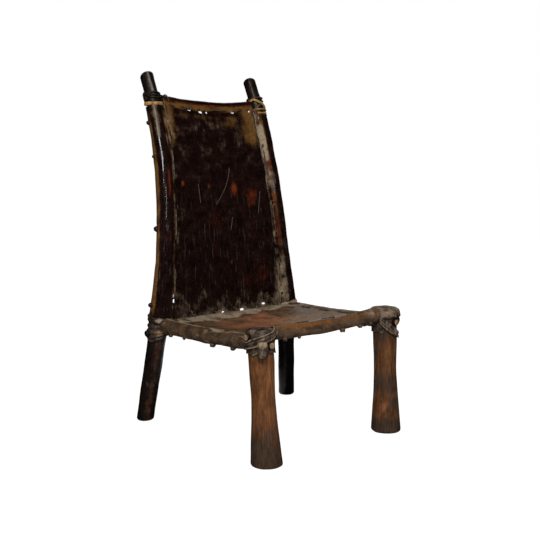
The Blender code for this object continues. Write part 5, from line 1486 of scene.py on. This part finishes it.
    def lacing(self):
        """Short stitches over the seat's rear edge into the back, each round the rear rail to the next."""
        forward = Vector((0, -1, 0))
        points = []
        for index in range(5):
            x = LACE_SHIFT + (index - 1.5) * LACE_PITCH
            back_hole = back_panel((x - back_panel(0, 0).x) / (back_panel(1, 0).x - back_panel(0, 0).x), 0.020)
            seat_share = (x - seat_plan(0, 1).x) / (seat_plan(1, 1).x - seat_plan(0, 1).x)
            seat_hole = seat_panel(seat_share, 1 - LACE_EDGE / SEAT_DEPTH)
            points += [seat_hole - UP * 0.0038, seat_hole + UP * 0.0042]
            points += [Vector((x, SEAT_REAR.y, SEAT_REAR.z + 0.0062)), back_hole + forward * 0.003, back_hole - forward * 0.0045]
            for step, angle in enumerate(span(math.radians(35), math.radians(-215), 8)):
                along = x + LACE_PITCH * step / 8 if index < 4 else x
                rail = rail_center(REAR_RAIL, (along - REAR_RAIL.start.x) / (REAR_RAIL.end.x - REAR_RAIL.start.x))
                points.append(rail + (UP * math.sin(angle) - forward * math.cos(angle)) * 0.0157)
        return points


class LOWCHAIR_OT_stage(bpy.types.Operator):
    """Set the pale floor, the soft light and the camera"""

    bl_idname = "low_chair.stage"
    bl_label = "Stage"

    def execute(self, context):
        scene = context.scene
        self.floor()
        self.world(scene)
        self.flag()
        self.lamp("key", (-1.7, -2.0, 2.2), (0.0, 0.0, 0.35), 0.9, 85)
        self.lamp("front", (0.0, -2.6, 1.2), (0.0, 0.1, 0.5), 0.14, 7)
        # The right lamp lights the shaded side without a mirror image on the dark sleeve
        self.lamp("right", (2.2, 0.4, 1.4), (0.0, 0.0, 0.3), 0.8, 19).visible_glossy = False
        lens = bpy.data.cameras.new("camera")
        lens.lens = 59.67
        lens.sensor_width = 36
        camera = make_object("camera", lens)
        camera.location = (-1.3694, -1.6969, 0.6715)
        camera.rotation_euler = (math.radians(90 - 7.49), 0, math.radians(-39.3))
        scene.camera = camera
        scene.view_settings.view_transform = "Standard"
        return {"FINISHED"}

    def floor(self):
        """White to the eye, with the chair's shadow a shade darker, and a matte pale floor to the light."""
        data = bpy.data.meshes.new("floor")
        data.from_pydata([(-40, -40, 0), (40, -40, 0), (40, 40, 0), (-40, 40, 0)], [], [(0, 1, 2, 3)])
        made, tree = new_material("pale_floor")
        seen = self.seen(tree)
        pale = add_node(tree, "ShaderNodeMapRange", {"Value": seen, "To Min": 0.8, "To Max": 0.2})
        white = add_node(tree, "ShaderNodeMapRange", {"Value": seen, "To Min": 0.0, "To Max": 0.95})
        matte = add_node(tree, "ShaderNodeBsdfDiffuse", {"Color": pale.outputs[0]})
        glow = add_node(tree, "ShaderNodeEmission", {"Color": (1, 1, 1, 1), "Strength": white.outputs[0]})
        both = add_node(tree, "ShaderNodeAddShader", {0: matte.outputs[0], 1: glow.outputs[0]})
        add_node(tree, "ShaderNodeOutputMaterial", {"Surface": both.outputs[0]})
        data.materials.append(made)
        make_object("floor", data)

    def seen(self, tree):
        """1 on rays that show the background: from the camera, or by way of a mirror or glass."""
        path = add_node(tree, "ShaderNodeLightPath").outputs
        direct = add_node(tree, "ShaderNodeMath", {0: path["Is Camera Ray"], 1: path["Is Transmission Ray"]}, operation="MAXIMUM")
        return add_node(tree, "ShaderNodeMath", {0: direct.outputs[0], 1: path["Is Glossy Ray"]}, operation="MAXIMUM").outputs[0]

    def flag(self):
        """A dark tent round the front, out of the camera's sight, that keeps the polish deep."""
        data = bpy.data.meshes.new("flag")
        turns = span(math.radians(-205), math.radians(130), 36)
        corners = [(0.05 * math.sin(turn), -0.05 * math.cos(turn), 0.002) for turn in turns]
        for rise in span(0.0, math.radians(80), 9):
            corners += [(5 * math.cos(rise) * math.sin(turn), -5 * math.cos(rise) * math.cos(turn), 5 * math.sin(rise) + 0.002) for turn in turns]
        count = len(turns)
        data.from_pydata(corners, [], [(i, i + 1, i + count + 1, i + count) for i in range(len(corners) - count) if (i + 1) % count])
        made, tree = new_material("dark_card")
        matte = add_node(tree, "ShaderNodeBsdfDiffuse", {"Color": (0.02, 0.02, 0.02, 1)})
        add_node(tree, "ShaderNodeOutputMaterial", {"Surface": matte.outputs[0]})
        data.materials.append(made)
        card = make_object("flag", data)
        card.visible_camera = False
        card.visible_diffuse = False
        card.visible_shadow = False

    def world(self, scene):
        made = bpy.data.worlds.new("studio")
        made.use_nodes = True
        tree = made.node_tree
        tree.nodes.clear()
        level = add_node(tree, "ShaderNodeMapRange", {"Value": self.seen(tree), "To Min": 0.25, "To Max": 1.0})
        glow = add_node(tree, "ShaderNodeBackground", {"Color": (1, 1, 1, 1), "Strength": level.outputs[0]})
        add_node(tree, "ShaderNodeOutputWorld", {"Surface": glow.outputs[0]})
        scene.world = made

    def lamp(self, name, place, target, size, power):
        data = bpy.data.lights.new(name, "AREA")
        data.shape = "DISK"
        data.size = size
        data.energy = power
        item = make_object(name, data)
        item.location = place
        item.rotation_euler = (Vector(target) - Vector(place)).to_track_quat("-Z", "Y").to_euler()
        return item


STEPS = ("posts", "legs", "rails", "back", "seat", "corners", "thongs", "stage")


class LOWCHAIR_PT_panel(bpy.types.Panel):
    """Lists the chair's steps and settings"""

    bl_label = "Low Chair"
    bl_idname = "LOWCHAIR_PT_panel"
    bl_space_type = "VIEW_3D"
    bl_region_type = "UI"
    bl_category = "Low Chair"

    def draw(self, context):
        for step in STEPS:
            self.layout.operator("low_chair." + step)
        for group in (context.scene.low_chair_sizes, context.scene.low_chair_colours):
            box = self.layout.box()
            for key in group.__annotations__:
                box.prop(group, key)


CLASSES = (
    LowChairSizes,
    LowChairColours,
    LOWCHAIR_OT_posts,
    LOWCHAIR_OT_legs,
    LOWCHAIR_OT_rails,
    LOWCHAIR_OT_back,
    LOWCHAIR_OT_seat,
    LOWCHAIR_OT_corners,
    LOWCHAIR_OT_thongs,
    LOWCHAIR_OT_stage,
    LOWCHAIR_PT_panel,
)


def register():
    for item in CLASSES:
        bpy.utils.register_class(item)
    bpy.types.Scene.low_chair_sizes = PointerProperty(type=LowChairSizes)
    bpy.types.Scene.low_chair_colours = PointerProperty(type=LowChairColours)


def unregister():
    del bpy.types.Scene.low_chair_colours
    del bpy.types.Scene.low_chair_sizes
    for item in reversed(CLASSES):
        bpy.utils.unregister_class(item)


def main():
    register()
    for step in STEPS:
        getattr(bpy.ops.low_chair, step)()


if __name__ == "__main__":
    main()
